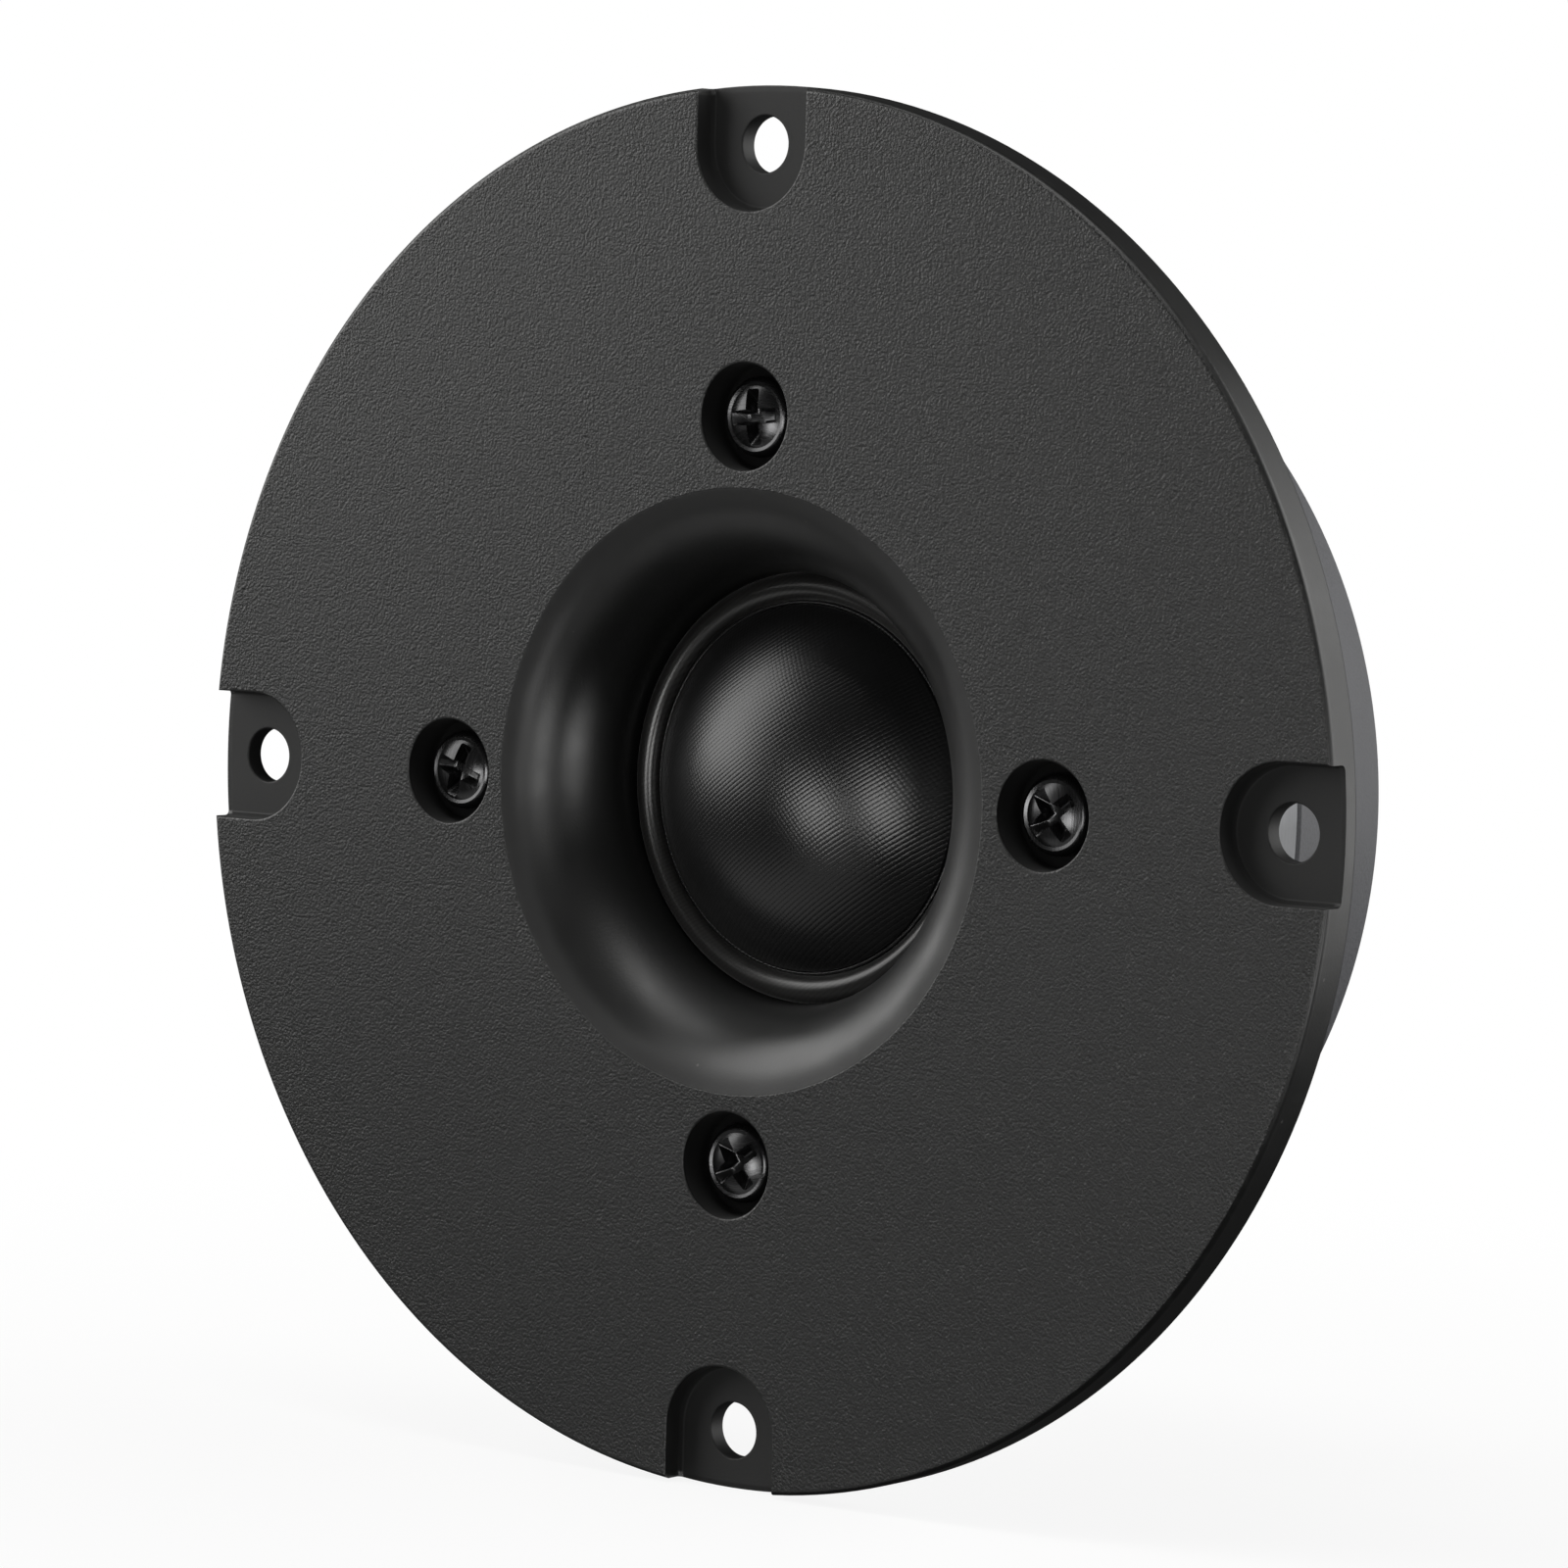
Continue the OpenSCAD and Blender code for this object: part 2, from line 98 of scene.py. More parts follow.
def front_height(node):
    """Height of a CAD node's front end, in mm."""
    return -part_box(node)[0].y / MM


def rear_height(node):
    """Height of a CAD node's rear end, in mm."""
    return -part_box(node)[1].y / MM


FACE = front_height("faceplate")
PLATE = front_height("front_pole_plate")
LIP = front_height("front_gasket")
BASE = rear_height("front_gasket")
RING_TOP = front_height("diaphragm_ring")
MAGNET_TOP = front_height("ring_magnet")
MAGNET_LOW = rear_height("ring_magnet")
REAR = rear_height("back_plate")


# ---------------------------------------------------------------- sizes and colours


def length(label, about, value):
    """A length property whose default is given in mm."""
    return bpy.props.FloatProperty(
        name=label, description=about, default=value * MM, precision=5, unit="LENGTH"
    )


def colour(label, about, value):
    """A linear colour property."""
    return bpy.props.FloatVectorProperty(
        name=label, description=about, default=value, size=3, min=0, max=1, subtype="COLOR"
    )


def share(label, about, value):
    """A property between 0 and 1."""
    return bpy.props.FloatProperty(
        name=label, description=about, default=value, min=0, max=1, subtype="FACTOR"
    )


class TweeterSizes(bpy.types.PropertyGroup):
    """Sizes that the outlines are drawn from."""

    throat: length("Throat radius", "Inner radius of the horn at its throat", 16.2)
    mouth: length("Mouth radius", "Radius of the crease where the horn meets the face", 22.35)
    edge_round: length("Edge rounding", "Rounding of the flange's front edge", 0.5)
    mount_radius: length("Mounting circle", "Radius of the circle of mounting holes", 47.7)
    mount_hole: length("Mounting hole", "Radius of a mounting hole", 2.1)
    ear_half: length("Ear half width", "Half the width of the sunk ear at a hole", 4.95)
    ear_depth: length("Ear depth", "Depth of the sunk ear", 1.76)
    ear_fillet: length("Ear fillet", "Fillet between an ear's floor and wall", 0.4)
    screw_radius: length("Screw circle", "Radius of the circle of plate screws", 27.68)
    counterbore: length("Counterbore", "Radius of a plate screw's counterbore", 3.95)
    seat: length("Screw seat", "Height of the counterbore's floor", 0.2)
    head: length("Screw head", "Radius of a plate screw's head", 3.0)
    cross: length("Cross recess", "Tip-to-tip width of a screw's cross recess", 4.2)
    lip_round: length("Lip rounding", "Rounding of the face's edge at each opening", 0.2)
    weave_pitch: length("Thread pitch", "Distance between threads of the dome's cloth", 0.31)
    grain_size: length("Grain size", "Size of the moulded grain on the flat face", 0.22)


class TweeterColours(bpy.types.PropertyGroup):
    """Colours and wear of the finishes."""

    plastic: colour("Faceplate plastic", "Moulded charcoal plastic", (0.0086, 0.0088, 0.0086))
    # The darker plastic drifts in the plastic's tone; at a fifth of its strength it is also the
    # painted shade in the counterbores.
    plastic_dark_and_bore_shade: colour("Darker plastic", "Its darker drift", (0.0066, 0.0067, 0.0067))
    silk: colour("Dome cloth", "Coated cloth of the dome", (0.0040, 0.0040, 0.0043))
    roll: colour("Surround cloth", "Doped cloth of the surround", (0.0180, 0.0176, 0.0170))
    screw: colour("Screw black", "Black oxide on the plate screws", (0.0420, 0.0420, 0.0430))
    ferrite: colour("Ferrite", "Sintered magnet", (0.070, 0.071, 0.077))
    zinc: colour("Zinc", "Dull zinc on the steel plates", (0.165, 0.168, 0.174))
    copper: colour("Copper", "Copper cap, winding and wires", (0.860, 0.400, 0.240))
    brass: colour("Brass", "Terminal blades and rivets", (0.780, 0.620, 0.330))
    felt: colour("Felt", "Grey damping felt", (0.110, 0.110, 0.115))
    wear: share("Wear", "How much the edges show wear", 0.35)
    dust: share("Dust", "How much dust lies on the plastic", 0.25)


# ---------------------------------------------------------------- modelling


def arc(centre, radius, start, end):
    """Points of an arc, from one angle to another in degrees, in fine steps."""
    steps = max(2, math.ceil(abs(end - start) / FINE_STEP))
    angles = [math.radians(start + (end - start) * k / steps) for k in range(steps + 1)]
    return [
        (centre[0] + radius * math.cos(a), centre[1] + radius * math.sin(a)) for a in angles
    ]


def rounded(corners):
    """A closed outline whose corners, given as (radius, height, rounding), are rounded."""
    points = []
    for i, corner in enumerate(corners):
        here = Vector(corner[:2])
        rounding = corner[2] if len(corner) > 2 else 0
        if not rounding:
            points.append(tuple(here))
            continue
        before = (Vector(corners[i - 1][:2]) - here).normalized()
        after = (Vector(corners[(i + 1) % len(corners)][:2]) - here).normalized()
        half = before.angle(after) / 2
        middle = here + (before + after).normalized() * rounding / math.sin(half)
        first = here + before * rounding / math.tan(half) - middle
        last = here + after * rounding / math.tan(half) - middle
        steps = max(2, math.ceil(math.degrees(math.pi - 2 * half) / FINE_STEP))
        for k in range(steps + 1):
            points.append(tuple(middle + first.slerp(last, k / steps) * rounding))
    return points


def rod(radius, low, high):
    """Half section of a rod."""
    return [(0, low), (radius, low), (radius, high), (0, high)]


def tube(inner, outer, low, high):
    """Half section of a tube."""
    return [(inner, low), (outer, low), (outer, high), (inner, high)]


def clear_selection():
    """Leaves nothing selected, in object mode."""
    if bpy.context.object and bpy.context.object.mode != "OBJECT":
        bpy.ops.object.mode_set(mode="OBJECT")
    bpy.ops.object.select_all(action="DESELECT")


def select_only(piece):
    """Leaves one object selected and active, in object mode."""
    clear_selection()
    piece.select_set(True)
    bpy.context.view_layer.objects.active = piece


def edit_all(piece):
    """Opens a piece in edit mode with everything selected."""
    select_only(piece)
    bpy.ops.object.mode_set(mode="EDIT")
    bpy.ops.mesh.select_all(action="SELECT")


def close_edit():
    """Merges doubles, turns the faces outwards and leaves edit mode."""
    bpy.ops.mesh.select_all(action="SELECT")
    bpy.ops.mesh.remove_doubles(threshold=MERGE_GAP)
    bpy.ops.mesh.normals_make_consistent(inside=False)
    bpy.ops.object.mode_set(mode="OBJECT")


def named(name):
    """The active object, with its name given to it and to its data."""
    piece = bpy.context.object
    piece.name = piece.data.name = name
    return piece


def drawn(name, points):
    """A chain of vertices through points in metres, left in edit mode."""
    clear_selection()
    bpy.ops.mesh.primitive_plane_add(size=MM)
    piece = named(name)
    bpy.ops.object.mode_set(mode="EDIT")
    bpy.ops.mesh.select_mode(type="VERT")
    bpy.ops.mesh.select_all(action="SELECT")
    bpy.ops.mesh.merge(type="CENTER")
    bpy.ops.transform.translate(value=points[0])
    for here, there in zip(points, points[1:]):
        bpy.ops.mesh.extrude_vertices_move(TRANSFORM_OT_translate={"value": there - here})
    return piece


def spin_all(steps, degrees):
    """Spins what is drawn about the Y axis, and leaves it all selected."""
    angle = math.radians(degrees)
    bpy.ops.mesh.select_all(action="SELECT")
    bpy.ops.mesh.spin(steps=steps, angle=angle, center=(0, 0, 0), axis=(0, 1, 0))
    bpy.ops.mesh.select_all(action="SELECT")


def turned(name, outline, closed=True, steps=TURN_STEPS, at=(0, 0)):
    """A piece turned from an outline in mm about an axis along Y, through (x, z) in mm."""
    line = list(outline) + ([outline[0]] if closed else [])
    piece = drawn(name, [Vector((r, -h, 0)) * MM for r, h in line])
    spin_all(steps, 360.0)
    bpy.ops.transform.translate(value=(at[0] * MM, 0, at[1] * MM))
    close_edit()
    return piece


def block(name, low, high):
    """A box between two corners in mm, given as (x, height, z)."""
    a, b = (Vector((x, -h, z)) * MM for x, h, z in (low, high))
    clear_selection()
    size = [abs(q - p) for p, q in zip(a, b)]
    bpy.ops.mesh.primitive_cube_add(size=1, location=(a + b) / 2, scale=size)
    piece = named(name)
    bpy.ops.object.transform_apply(location=True, rotation=True, scale=True)
    return piece


def pick(piece, wanted):
    """Opens edit mode with just the vertices whose place in mm passes the test selected."""
    select_only(piece)
    bpy.ops.object.mode_set(mode="EDIT")
    bpy.ops.mesh.select_mode(type="VERT")
    bpy.ops.mesh.select_all(action="DESELECT")
    bpy.ops.object.mode_set(mode="OBJECT")
    for v in piece.data.vertices:
        v.select = wanted(v.co.x / MM, -v.co.y / MM, v.co.z / MM)
    bpy.ops.object.mode_set(mode="EDIT")


def modified(piece, kind, **settings):
    """Adds a modifier to a piece with its settings, and applies it."""
    select_only(piece)
    bpy.ops.object.modifier_add(type=kind)
    modifier = piece.modifiers[-1]
    for name, value in settings.items():
        setattr(modifier, name, value)
    bpy.ops.object.modifier_apply(modifier=modifier.name)


def bevel_all(piece, width, segments, limit=40):
    """Rounds every edge sharper than the limit in degrees."""
    modified(
        piece, "BEVEL", width=width * MM, segments=segments, limit_method="ANGLE",
        angle_limit=math.radians(limit), harden_normals=False,
    )


def join(pieces):
    """Joins pieces into the first."""
    select_only(pieces[0])
    for p in pieces[1:]:
        p.select_set(True)
    if len(pieces) > 1:
        bpy.ops.object.join()
    return bpy.context.object


def carve(piece, tools, operation="DIFFERENCE"):
    """Cuts tools out of a piece, or joins them to it, and removes them."""
    tool = join(tools)
    modified(piece, "BOOLEAN", operation=operation, solver="EXACT", object=tool)
    select_only(tool)
    bpy.ops.object.delete()
    select_only(piece)


def turn_about_axis(piece, degrees):
    """Turns a piece about the tweeter's axis, anticlockwise as seen from the front."""
    select_only(piece)
    piece.rotation_euler = (0, -math.radians(degrees), 0)
    bpy.ops.object.transform_apply(location=False, rotation=True, scale=False)
    return piece


def repeated(make, turns=QUARTERS):
    """Pieces made one after another, each turned to its own angle about the axis."""
    return [turn_about_axis(make(), turn) for turn in turns]


def copy_of(piece, name):
    """A copy of a piece with its own mesh."""
    select_only(piece)
    bpy.ops.object.duplicate()
    return named(name)


def smooth(piece, angle, weighted):
    """Smooth shading up to an angle, with flat faces kept flat if weighted."""
    select_only(piece)
    bpy.ops.object.shade_smooth_by_angle(angle=math.radians(angle), keep_sharp_edges=True)
    if weighted:
        modified(piece, "WEIGHTED_NORMAL", keep_sharp=True)


def dress(piece, finish, node):
    """Gives a piece its finish, and hides the CAD node that it stands for."""
    piece.data.materials.clear()
    piece.data.materials.append(finishes[finish])
    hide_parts(node)


def complete(piece, finish, node, slot_name, body=CHASSIS, angle=35, weighted=True, turn=0):
    """Shades and dresses a piece, turns it about the axis and sets it on its body."""
    smooth(piece, angle, weighted)
    dress(piece, finish, node)
    if turn:
        turn_about_axis(piece, turn)
    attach(piece, body)


# ---------------------------------------------------------------- node helpers

FLOAT, VECTOR, COLOUR = "NodeSocketFloat", "NodeSocketVector", "NodeSocketColor"


def spaced(values):
    """Values by name, with spaces for the underscores in the names."""
    return {name.replace("_", " "): value for name, value in values.items()}


def fill(tree, node, values):
    """Sets or links a node's inputs."""
    for key, value in values.items():
        if isinstance(value, bpy.types.NodeSocket):
            tree.links.new(value, node.inputs[key])
        else:
            node.inputs[key].default_value = value


def put(tree, kind, values=None, **settings):
    """Adds a node with its settings and its inputs' values."""
    node = tree.nodes.new(kind)
    node.location = (180 * len(tree.nodes), 0)
    for name, value in settings.items():
        setattr(node, name, value)
    fill(tree, node, values or {})
    return node


def sums(tree, operation, a, b=0.0, clamp=False):
    """The result of a Math node."""
    node = put(tree, "ShaderNodeMath", {0: a, 1: b}, operation=operation, use_clamp=clamp)
    return node.outputs[0]


def product(tree, first, *others):
    """Several values multiplied."""
    for other in others:
        first = sums(tree, "MULTIPLY", first, other)
    return first


def ramp(tree, value, low, high, to_low=0.0, to_high=1.0):
    """A value carried smoothly from one range to another, and held at its ends."""
    values = {0: value, 1: low, 2: high, 3: to_low, 4: to_high}
    return put(tree, "ShaderNodeMapRange", values, interpolation_type="SMOOTHSTEP").outputs[0]


def mixed(tree, factor, a, b):
    """Two colours mixed by a factor."""
    return put(tree, "ShaderNodeMix", {0: factor, 6: a, 7: b}, data_type="RGBA").outputs[2]


def between(tree, factor, a, b):
    """Two numbers mixed by a factor."""
    return put(tree, "ShaderNodeMix", {0: factor, 2: a, 3: b}, data_type="FLOAT").outputs[0]


def noise(tree, place, scale, detail, **more):
    """The strength of a Noise Texture."""
    values = {"Vector": place, "Scale": scale, "Detail": detail, **more}
    return put(tree, "ShaderNodeTexNoise", values).outputs["Fac"]


def radius_and_height(tree, place):
    """Distance from the tweeter's axis, and the height along it, in metres."""
    split = put(tree, "ShaderNodeSeparateXYZ", {0: place}).outputs
    flat = put(tree, "ShaderNodeCombineXYZ", {0: split["X"], 1: 0.0, 2: split["Z"]}).outputs[0]
    radius = put(tree, "ShaderNodeVectorMath", {0: flat}, operation="LENGTH").outputs["Value"]
    return radius, product(tree, split["Y"], -1.0)


def rgba(value, gain=1.0):
    """A colour property as four numbers, lightened by a gain."""
    return (*(min(1.0, c * gain) for c in value), 1.0)


def new_group(name, inputs, outputs):
    """A shader node group that takes a place and the inputs, with its inner sockets."""
    tree = bpy.data.node_groups.new(name, "ShaderNodeTree")
    tree.interface.new_socket(name="Vector", in_out="INPUT", socket_type=VECTOR)
    for label, value in inputs.items():
        kind = FLOAT if isinstance(value, float) else COLOUR
        socket = tree.interface.new_socket(name=label, in_out="INPUT", socket_type=kind)
        socket.default_value = value
    for label, kind in outputs.items():
        tree.interface.new_socket(name=label, in_out="OUTPUT", socket_type=kind)
    given = tree.nodes.new("NodeGroupInput").outputs
    made = tree.nodes.new("NodeGroupOutput").inputs
    return tree, given, made


def grain_group():
    """Moulded grain: low pebbles with fine grit between them."""
    tree, given, made = new_group(
        "Moulded grain", {"Size": 0.0004, "Grit": 0.4}, {"Height": FLOAT, "Shade": FLOAT}
    )
    place = given["Vector"]
    scale = sums(tree, "DIVIDE", 1.0, given["Size"])
    pebbles = put(
        tree,
        "ShaderNodeTexVoronoi",
        {"Vector": place, "Scale": scale, "Randomness": 1.0, "Smoothness": 0.7},
        feature="SMOOTH_F1",
    )
    grit = noise(tree, place, product(tree, scale, 1.7), 3.0)
    domed = sums(tree, "SUBTRACT", 1.0, pebbles.outputs["Distance"])
    rough = product(tree, grit, given["Grit"])
    tree.links.new(sums(tree, "ADD", domed, rough), made["Height"])
    tree.links.new(ramp(tree, grit, 0.35, 0.65), made["Shade"])
    return tree


def weave_group():
    """Woven cloth: two families of threads crossing, one of them prouder."""
    tree, given, made = new_group(
        "Cloth weave",
        {"Pitch": 0.0004, "Angle": 0.0, "Crossing": 0.35, "Uneven": 0.3},
        {"Height": FLOAT, "Threads": FLOAT},
    )
    place = given["Vector"]
    wobble = product(tree, noise(tree, place, 420.0, 1.0), given["Uneven"])
    turn = put(
        tree,
        "ShaderNodeVectorRotate",
        {"Vector": place, "Angle": given["Angle"]},
        rotation_type="Y_AXIS",
    )
    split = put(tree, "ShaderNodeSeparateXYZ", {0: turn.outputs[0]})
    heights = []
    for axis in ("X", "Z"):
        along = sums(tree, "DIVIDE", split.outputs[axis], given["Pitch"])
        phase = sums(tree, "ADD", along, wobble)
        wave = sums(tree, "SINE", product(tree, phase, math.pi))
        heights.append(sums(tree, "ABSOLUTE", wave))
    main = sums(tree, "POWER", heights[1], 0.7)
    cross = product(tree, heights[0], given["Crossing"])
    tree.links.new(sums(tree, "ADD", main, cross), made["Height"])
    tree.links.new(main, made["Threads"])
    return tree


def drift_group():
    """Slow clouds of colour between two near shades."""
    tree, given, made = new_group(
        "Colour drift",
        {
            "Colour": (0.5, 0.5, 0.5, 1),
            "Other Colour": (0.4, 0.4, 0.4, 1),
            "Cloud Size": 0.012,
        },
        {"Colour": COLOUR, "Clouds": FLOAT},
    )
    scale = sums(tree, "DIVIDE", 1.0, given["Cloud Size"])
    clouds = noise(tree, given["Vector"], scale, 4.0, Roughness=0.6)
    mask = ramp(tree, clouds, 0.3, 0.7)
    tree.links.new(mixed(tree, mask, given["Colour"], given["Other Colour"]), made["Colour"])
    tree.links.new(mask, made["Clouds"])
    return tree


def ring_wear_group():
    """Rubbed marks along one turned edge, at a radius and a height; on the screws the same mask
    places a painted highlight.
    """
    tree, given, made = new_group(
        "Ring wear",
        {"Radius": 0.05, "Height": 0.004, "Width": 0.0004, "Amount": 0.3},
        {"Mask": FLOAT},
    )
    radius, height = radius_and_height(tree, given["Vector"])
    off = sums(tree, "SUBTRACT", radius, given["Radius"])
    up = sums(tree, "SUBTRACT", height, given["Height"])
    squares = sums(tree, "ADD", product(tree, off, off), product(tree, up, up))
    far = sums(tree, "DIVIDE", sums(tree, "SQRT", squares), given["Width"])
    near = sums(tree, "SUBTRACT", 1.0, far, clamp=True)
    broken = ramp(tree, noise(tree, given["Vector"], 900.0, 5.0), 0.45, 0.62)
    rubbed = product(tree, near, broken)
    mask = sums(tree, "MULTIPLY", rubbed, given["Amount"], clamp=True)
    tree.links.new(mask, made["Mask"])
    return tree


def dust_group():
    """Scattered specks of dust."""
    tree, given, made = new_group(
        "Dust specks", {"Spacing": 0.0025, "Amount": 0.3}, {"Mask": FLOAT}
    )
    scale = sums(tree, "DIVIDE", 1.0, given["Spacing"])
    specks = put(tree, "ShaderNodeTexVoronoi", {"Vector": given["Vector"], "Scale": scale})
    near = ramp(tree, specks.outputs["Distance"], 0.02, 0.055, 1.0, 0.0)
    few = put(tree, "ShaderNodeSeparateColor", {0: specks.outputs["Color"]})
    chosen = ramp(tree, few.outputs[0], 0.72, 0.78)
    tree.links.new(product(tree, near, chosen, given["Amount"]), made["Mask"])
    return tree


def lathe_group():
    """Fine rings left by turning or rolling, round the tweeter's axis."""
    tree, given, made = new_group(
        "Turning marks", {"Pitch": 0.0003, "Uneven": 0.5}, {"Height": FLOAT}
    )
    radius, height = radius_and_height(tree, given["Vector"])
    place = sums(tree, "DIVIDE", sums(tree, "SUBTRACT", radius, height), given["Pitch"])
    row = put(tree, "ShaderNodeCombineXYZ", {0: place}).outputs[0]
    lines = noise(tree, row, 1.0, 3.0)
    blotch = noise(tree, given["Vector"], 300.0, 2.0)
    varied = product(tree, blotch, given["Uneven"])
    tree.links.new(sums(tree, "ADD", lines, varied), made["Height"])
    return tree

GROUP_MAKERS = {
    "grain": grain_group,
    "weave": weave_group,
    "drift": drift_group,
    "wear": ring_wear_group,
    "dust": dust_group,
    "lathe": lathe_group,
}
groups = {}
finishes = {}


def use_group(tree, key, place, **values):
    """Places a shared group, making it the first time."""
    if key not in groups:
        groups[key] = GROUP_MAKERS[key]()
    inputs = {"Vector": place, **spaced(values)}
    return put(tree, "ShaderNodeGroup", inputs, node_tree=groups[key]).outputs


def new_finish(name):
    """An empty material: its tree, its shader and its object coordinates."""
    material = bpy.data.materials.new(name)
    material.use_nodes = True
    tree = material.node_tree
    tree.nodes.clear()
    shader = put(tree, "ShaderNodeBsdfPrincipled")
    put(tree, "ShaderNodeOutputMaterial", {"Surface": shader.outputs[0]})
    place = put(tree, "ShaderNodeTexCoord").outputs["Object"]
    finishes[name] = material
    return tree, shader, place


def relief(tree, shader, layers):
    """Stacks bumps, given as (height, depth in mm), on to a shader's normal."""
    normal = None
    for height, depth in layers:
        values = {"Height": height, "Distance": depth * MM, "Strength": 1.0}
        if normal is not None:
            values["Normal"] = normal
        normal = put(tree, "ShaderNodeBump", values).outputs["Normal"]
    tree.links.new(normal, shader.inputs["Normal"])


def set_shader(tree, shader, **values):
    """Sets or links a shader's inputs, given with _ for spaces."""
    fill(tree, shader, spaced(values))


# ---------------------------------------------------------------- finishes


def faceplate_finish(sizes, colours):
    """Charcoal plastic: grained on the flat face, satin in the horn, with painted shade in the
    bores.
    """
    tree, shader, place = new_finish("charcoal plastic")
    radius, height = radius_and_height(tree, place)
    rim_r, mouth, face = CAD_BOX[1].x, sizes.mouth, FACE * MM
    floor = face - sizes.ear_depth
    beyond_screws = 33 * MM

    outside = ramp(tree, radius, mouth, mouth + 0.15 * MM)
    on_face = ramp(tree, height, (FACE - 0.12) * MM, (FACE - 0.04) * MM)
    flat_face = product(tree, outside, on_face)
    inside_rim = ramp(tree, radius, rim_r - 0.6 * MM, rim_r - 0.3 * MM, 1.0, 0.0)
    below_face = ramp(tree, height, (FACE - 0.12) * MM, (FACE - 0.04) * MM, 1.0, 0.0)
    beyond_mouth = ramp(tree, radius, mouth + 0.5 * MM, mouth + 0.8 * MM)
    sunk = product(tree, inside_rim, below_face, beyond_mouth)
    in_ear = product(tree, sunk, ramp(tree, height, floor - 0.10 * MM, floor - 0.02 * MM))
    screw_side = ramp(tree, radius, beyond_screws, beyond_screws + 0.5 * MM, 1.0, 0.0)
    in_bore = product(tree, sunk, screw_side)

    plain, dark = rgba(colours.plastic), rgba(colours.plastic_dark_and_bore_shade)
    drift = use_group(tree, "drift", place, Colour=plain, Other_Colour=dark, Cloud_Size=0.016)
    grain = use_group(tree, "grain", place, Size=sizes.grain_size, Grit=0.9)
    satin = use_group(tree, "grain", place, Size=0.0002, Grit=0.6)
    dust = use_group(tree, "dust", place, Spacing=0.0032, Amount=colours.dust)
    rim, crease = (
        use_group(tree, "wear", place, Radius=at, Height=face, Width=width, Amount=colours.wear)
        for at, width in ((rim_r, 0.0011), (mouth, 0.00035))
    )

    rough_flat = ramp(tree, grain["Shade"], 0.0, 1.0, 0.37, 0.45)
    polished = ramp(tree, radius, mouth - 2.0 * MM, mouth - 0.3 * MM, 0.0, 0.22)
    mottled = ramp(tree, drift["Clouds"], 0.0, 1.0, 0.35, 0.45)
    rough_horn = sums(tree, "ADD", product(tree, polished, inside_rim), mottled)
    roughness = between(tree, flat_face, rough_horn, rough_flat)
    walls = ramp(tree, height, floor + 0.01 * MM, floor + 0.05 * MM, 0.62, 0.95)
    roughness = between(tree, in_ear, roughness, walls)
    roughness = between(tree, in_bore, roughness, 0.95)

    worn = sums(tree, "ADD", rim["Mask"], crease["Mask"], clamp=True)
    shaded = mixed(tree, grain["Shade"], drift["Colour"], rgba(colours.plastic, 1.15))
    base = mixed(tree, flat_face, drift["Colour"], shaded)
    rubbed = mixed(tree, worn, base, rgba(colours.plastic, 2.6))
    # Painted shade: the counterbores take a fifth of the darker plastic, in place of the shadow
    # inside them.
    shadowed = mixed(tree, in_bore, rubbed, rgba(colours.plastic_dark_and_bore_shade, 0.2))
    dusty = mixed(tree, dust["Mask"], shadowed, (0.22, 0.21, 0.2, 1))
    set_shader(tree, shader, Base_Color=dusty, Roughness=roughness, Specular_IOR_Level=0.5)

    grained = product(tree, grain["Height"], flat_face)
    fine = product(tree, satin["Height"], sums(tree, "SUBTRACT", 1.0, flat_face))
    relief(tree, shader, [(grained, 0.040), (fine, 0.0040)])


def cloth_finish(name, base, sheen, pitch, depth, roughness, crossing):
    """Coated cloth: threads under a thin, slightly glossy coating."""
    tree, shader, place = new_finish(name)
    angle = math.radians(35)
    weave = use_group(
        tree, "weave", place, Pitch=pitch, Angle=angle, Crossing=crossing, Uneven=0.25
    )
    plain, other = rgba(base), rgba(base, 1.5)
    drift = use_group(tree, "drift", place, Colour=plain, Other_Colour=other, Cloud_Size=0.006)
    threads = mixed(tree, weave["Threads"], rgba(base, 0.55), drift["Colour"])
    dust = use_group(tree, "dust", place, Spacing=0.0021, Amount=0.35)
    dusty = mixed(tree, dust["Mask"], threads, (0.2, 0.2, 0.2, 1))
    rough = ramp(tree, weave["Threads"], 0.0, 1.0, roughness + 0.04, roughness - 0.02)
    set_shader(tree, shader, Base_Color=dusty, Roughness=rough)
    set_shader(tree, shader, Sheen_Weight=sheen, Sheen_Roughness=0.4)
    relief(tree, shader, [(weave["Height"], depth)])


def metal_finish(name, base, roughness, pitch, metallic=1.0, wear=(), tarnish=0.7):
    """Turned or plated metal, with rings, stains and lighter rings at (radius, height): rubbed
    edges on the plates, a painted highlight on the screw heads.
    """
    tree, shader, place = new_finish(name)
    rings = use_group(tree, "lathe", place, Pitch=pitch, Uneven=0.6)
    plain, other = rgba(base), rgba(base, tarnish)
    drift = use_group(tree, "drift", place, Colour=plain, Other_Colour=other, Cloud_Size=0.007)
    shade = drift["Colour"]
    # Lighter rings: rubbed edges on the plates, and on the black oxide a painted highlight in
    # place of the glints on the screws' lips.
    for radius, height in wear:
        rubbed = use_group(
            tree, "wear", place, Radius=radius * MM, Height=height * MM, Width=0.0009, Amount=0.8
        )
        shade = mixed(tree, rubbed["Mask"], shade, rgba(base, 1.5))
    rough = ramp(tree, rings["Height"], 0.4, 1.2, roughness - 0.07, roughness + 0.09)
    set_shader(tree, shader, Base_Color=shade, Roughness=rough, Metallic=metallic)
    relief(tree, shader, [(rings["Height"], 0.006)])


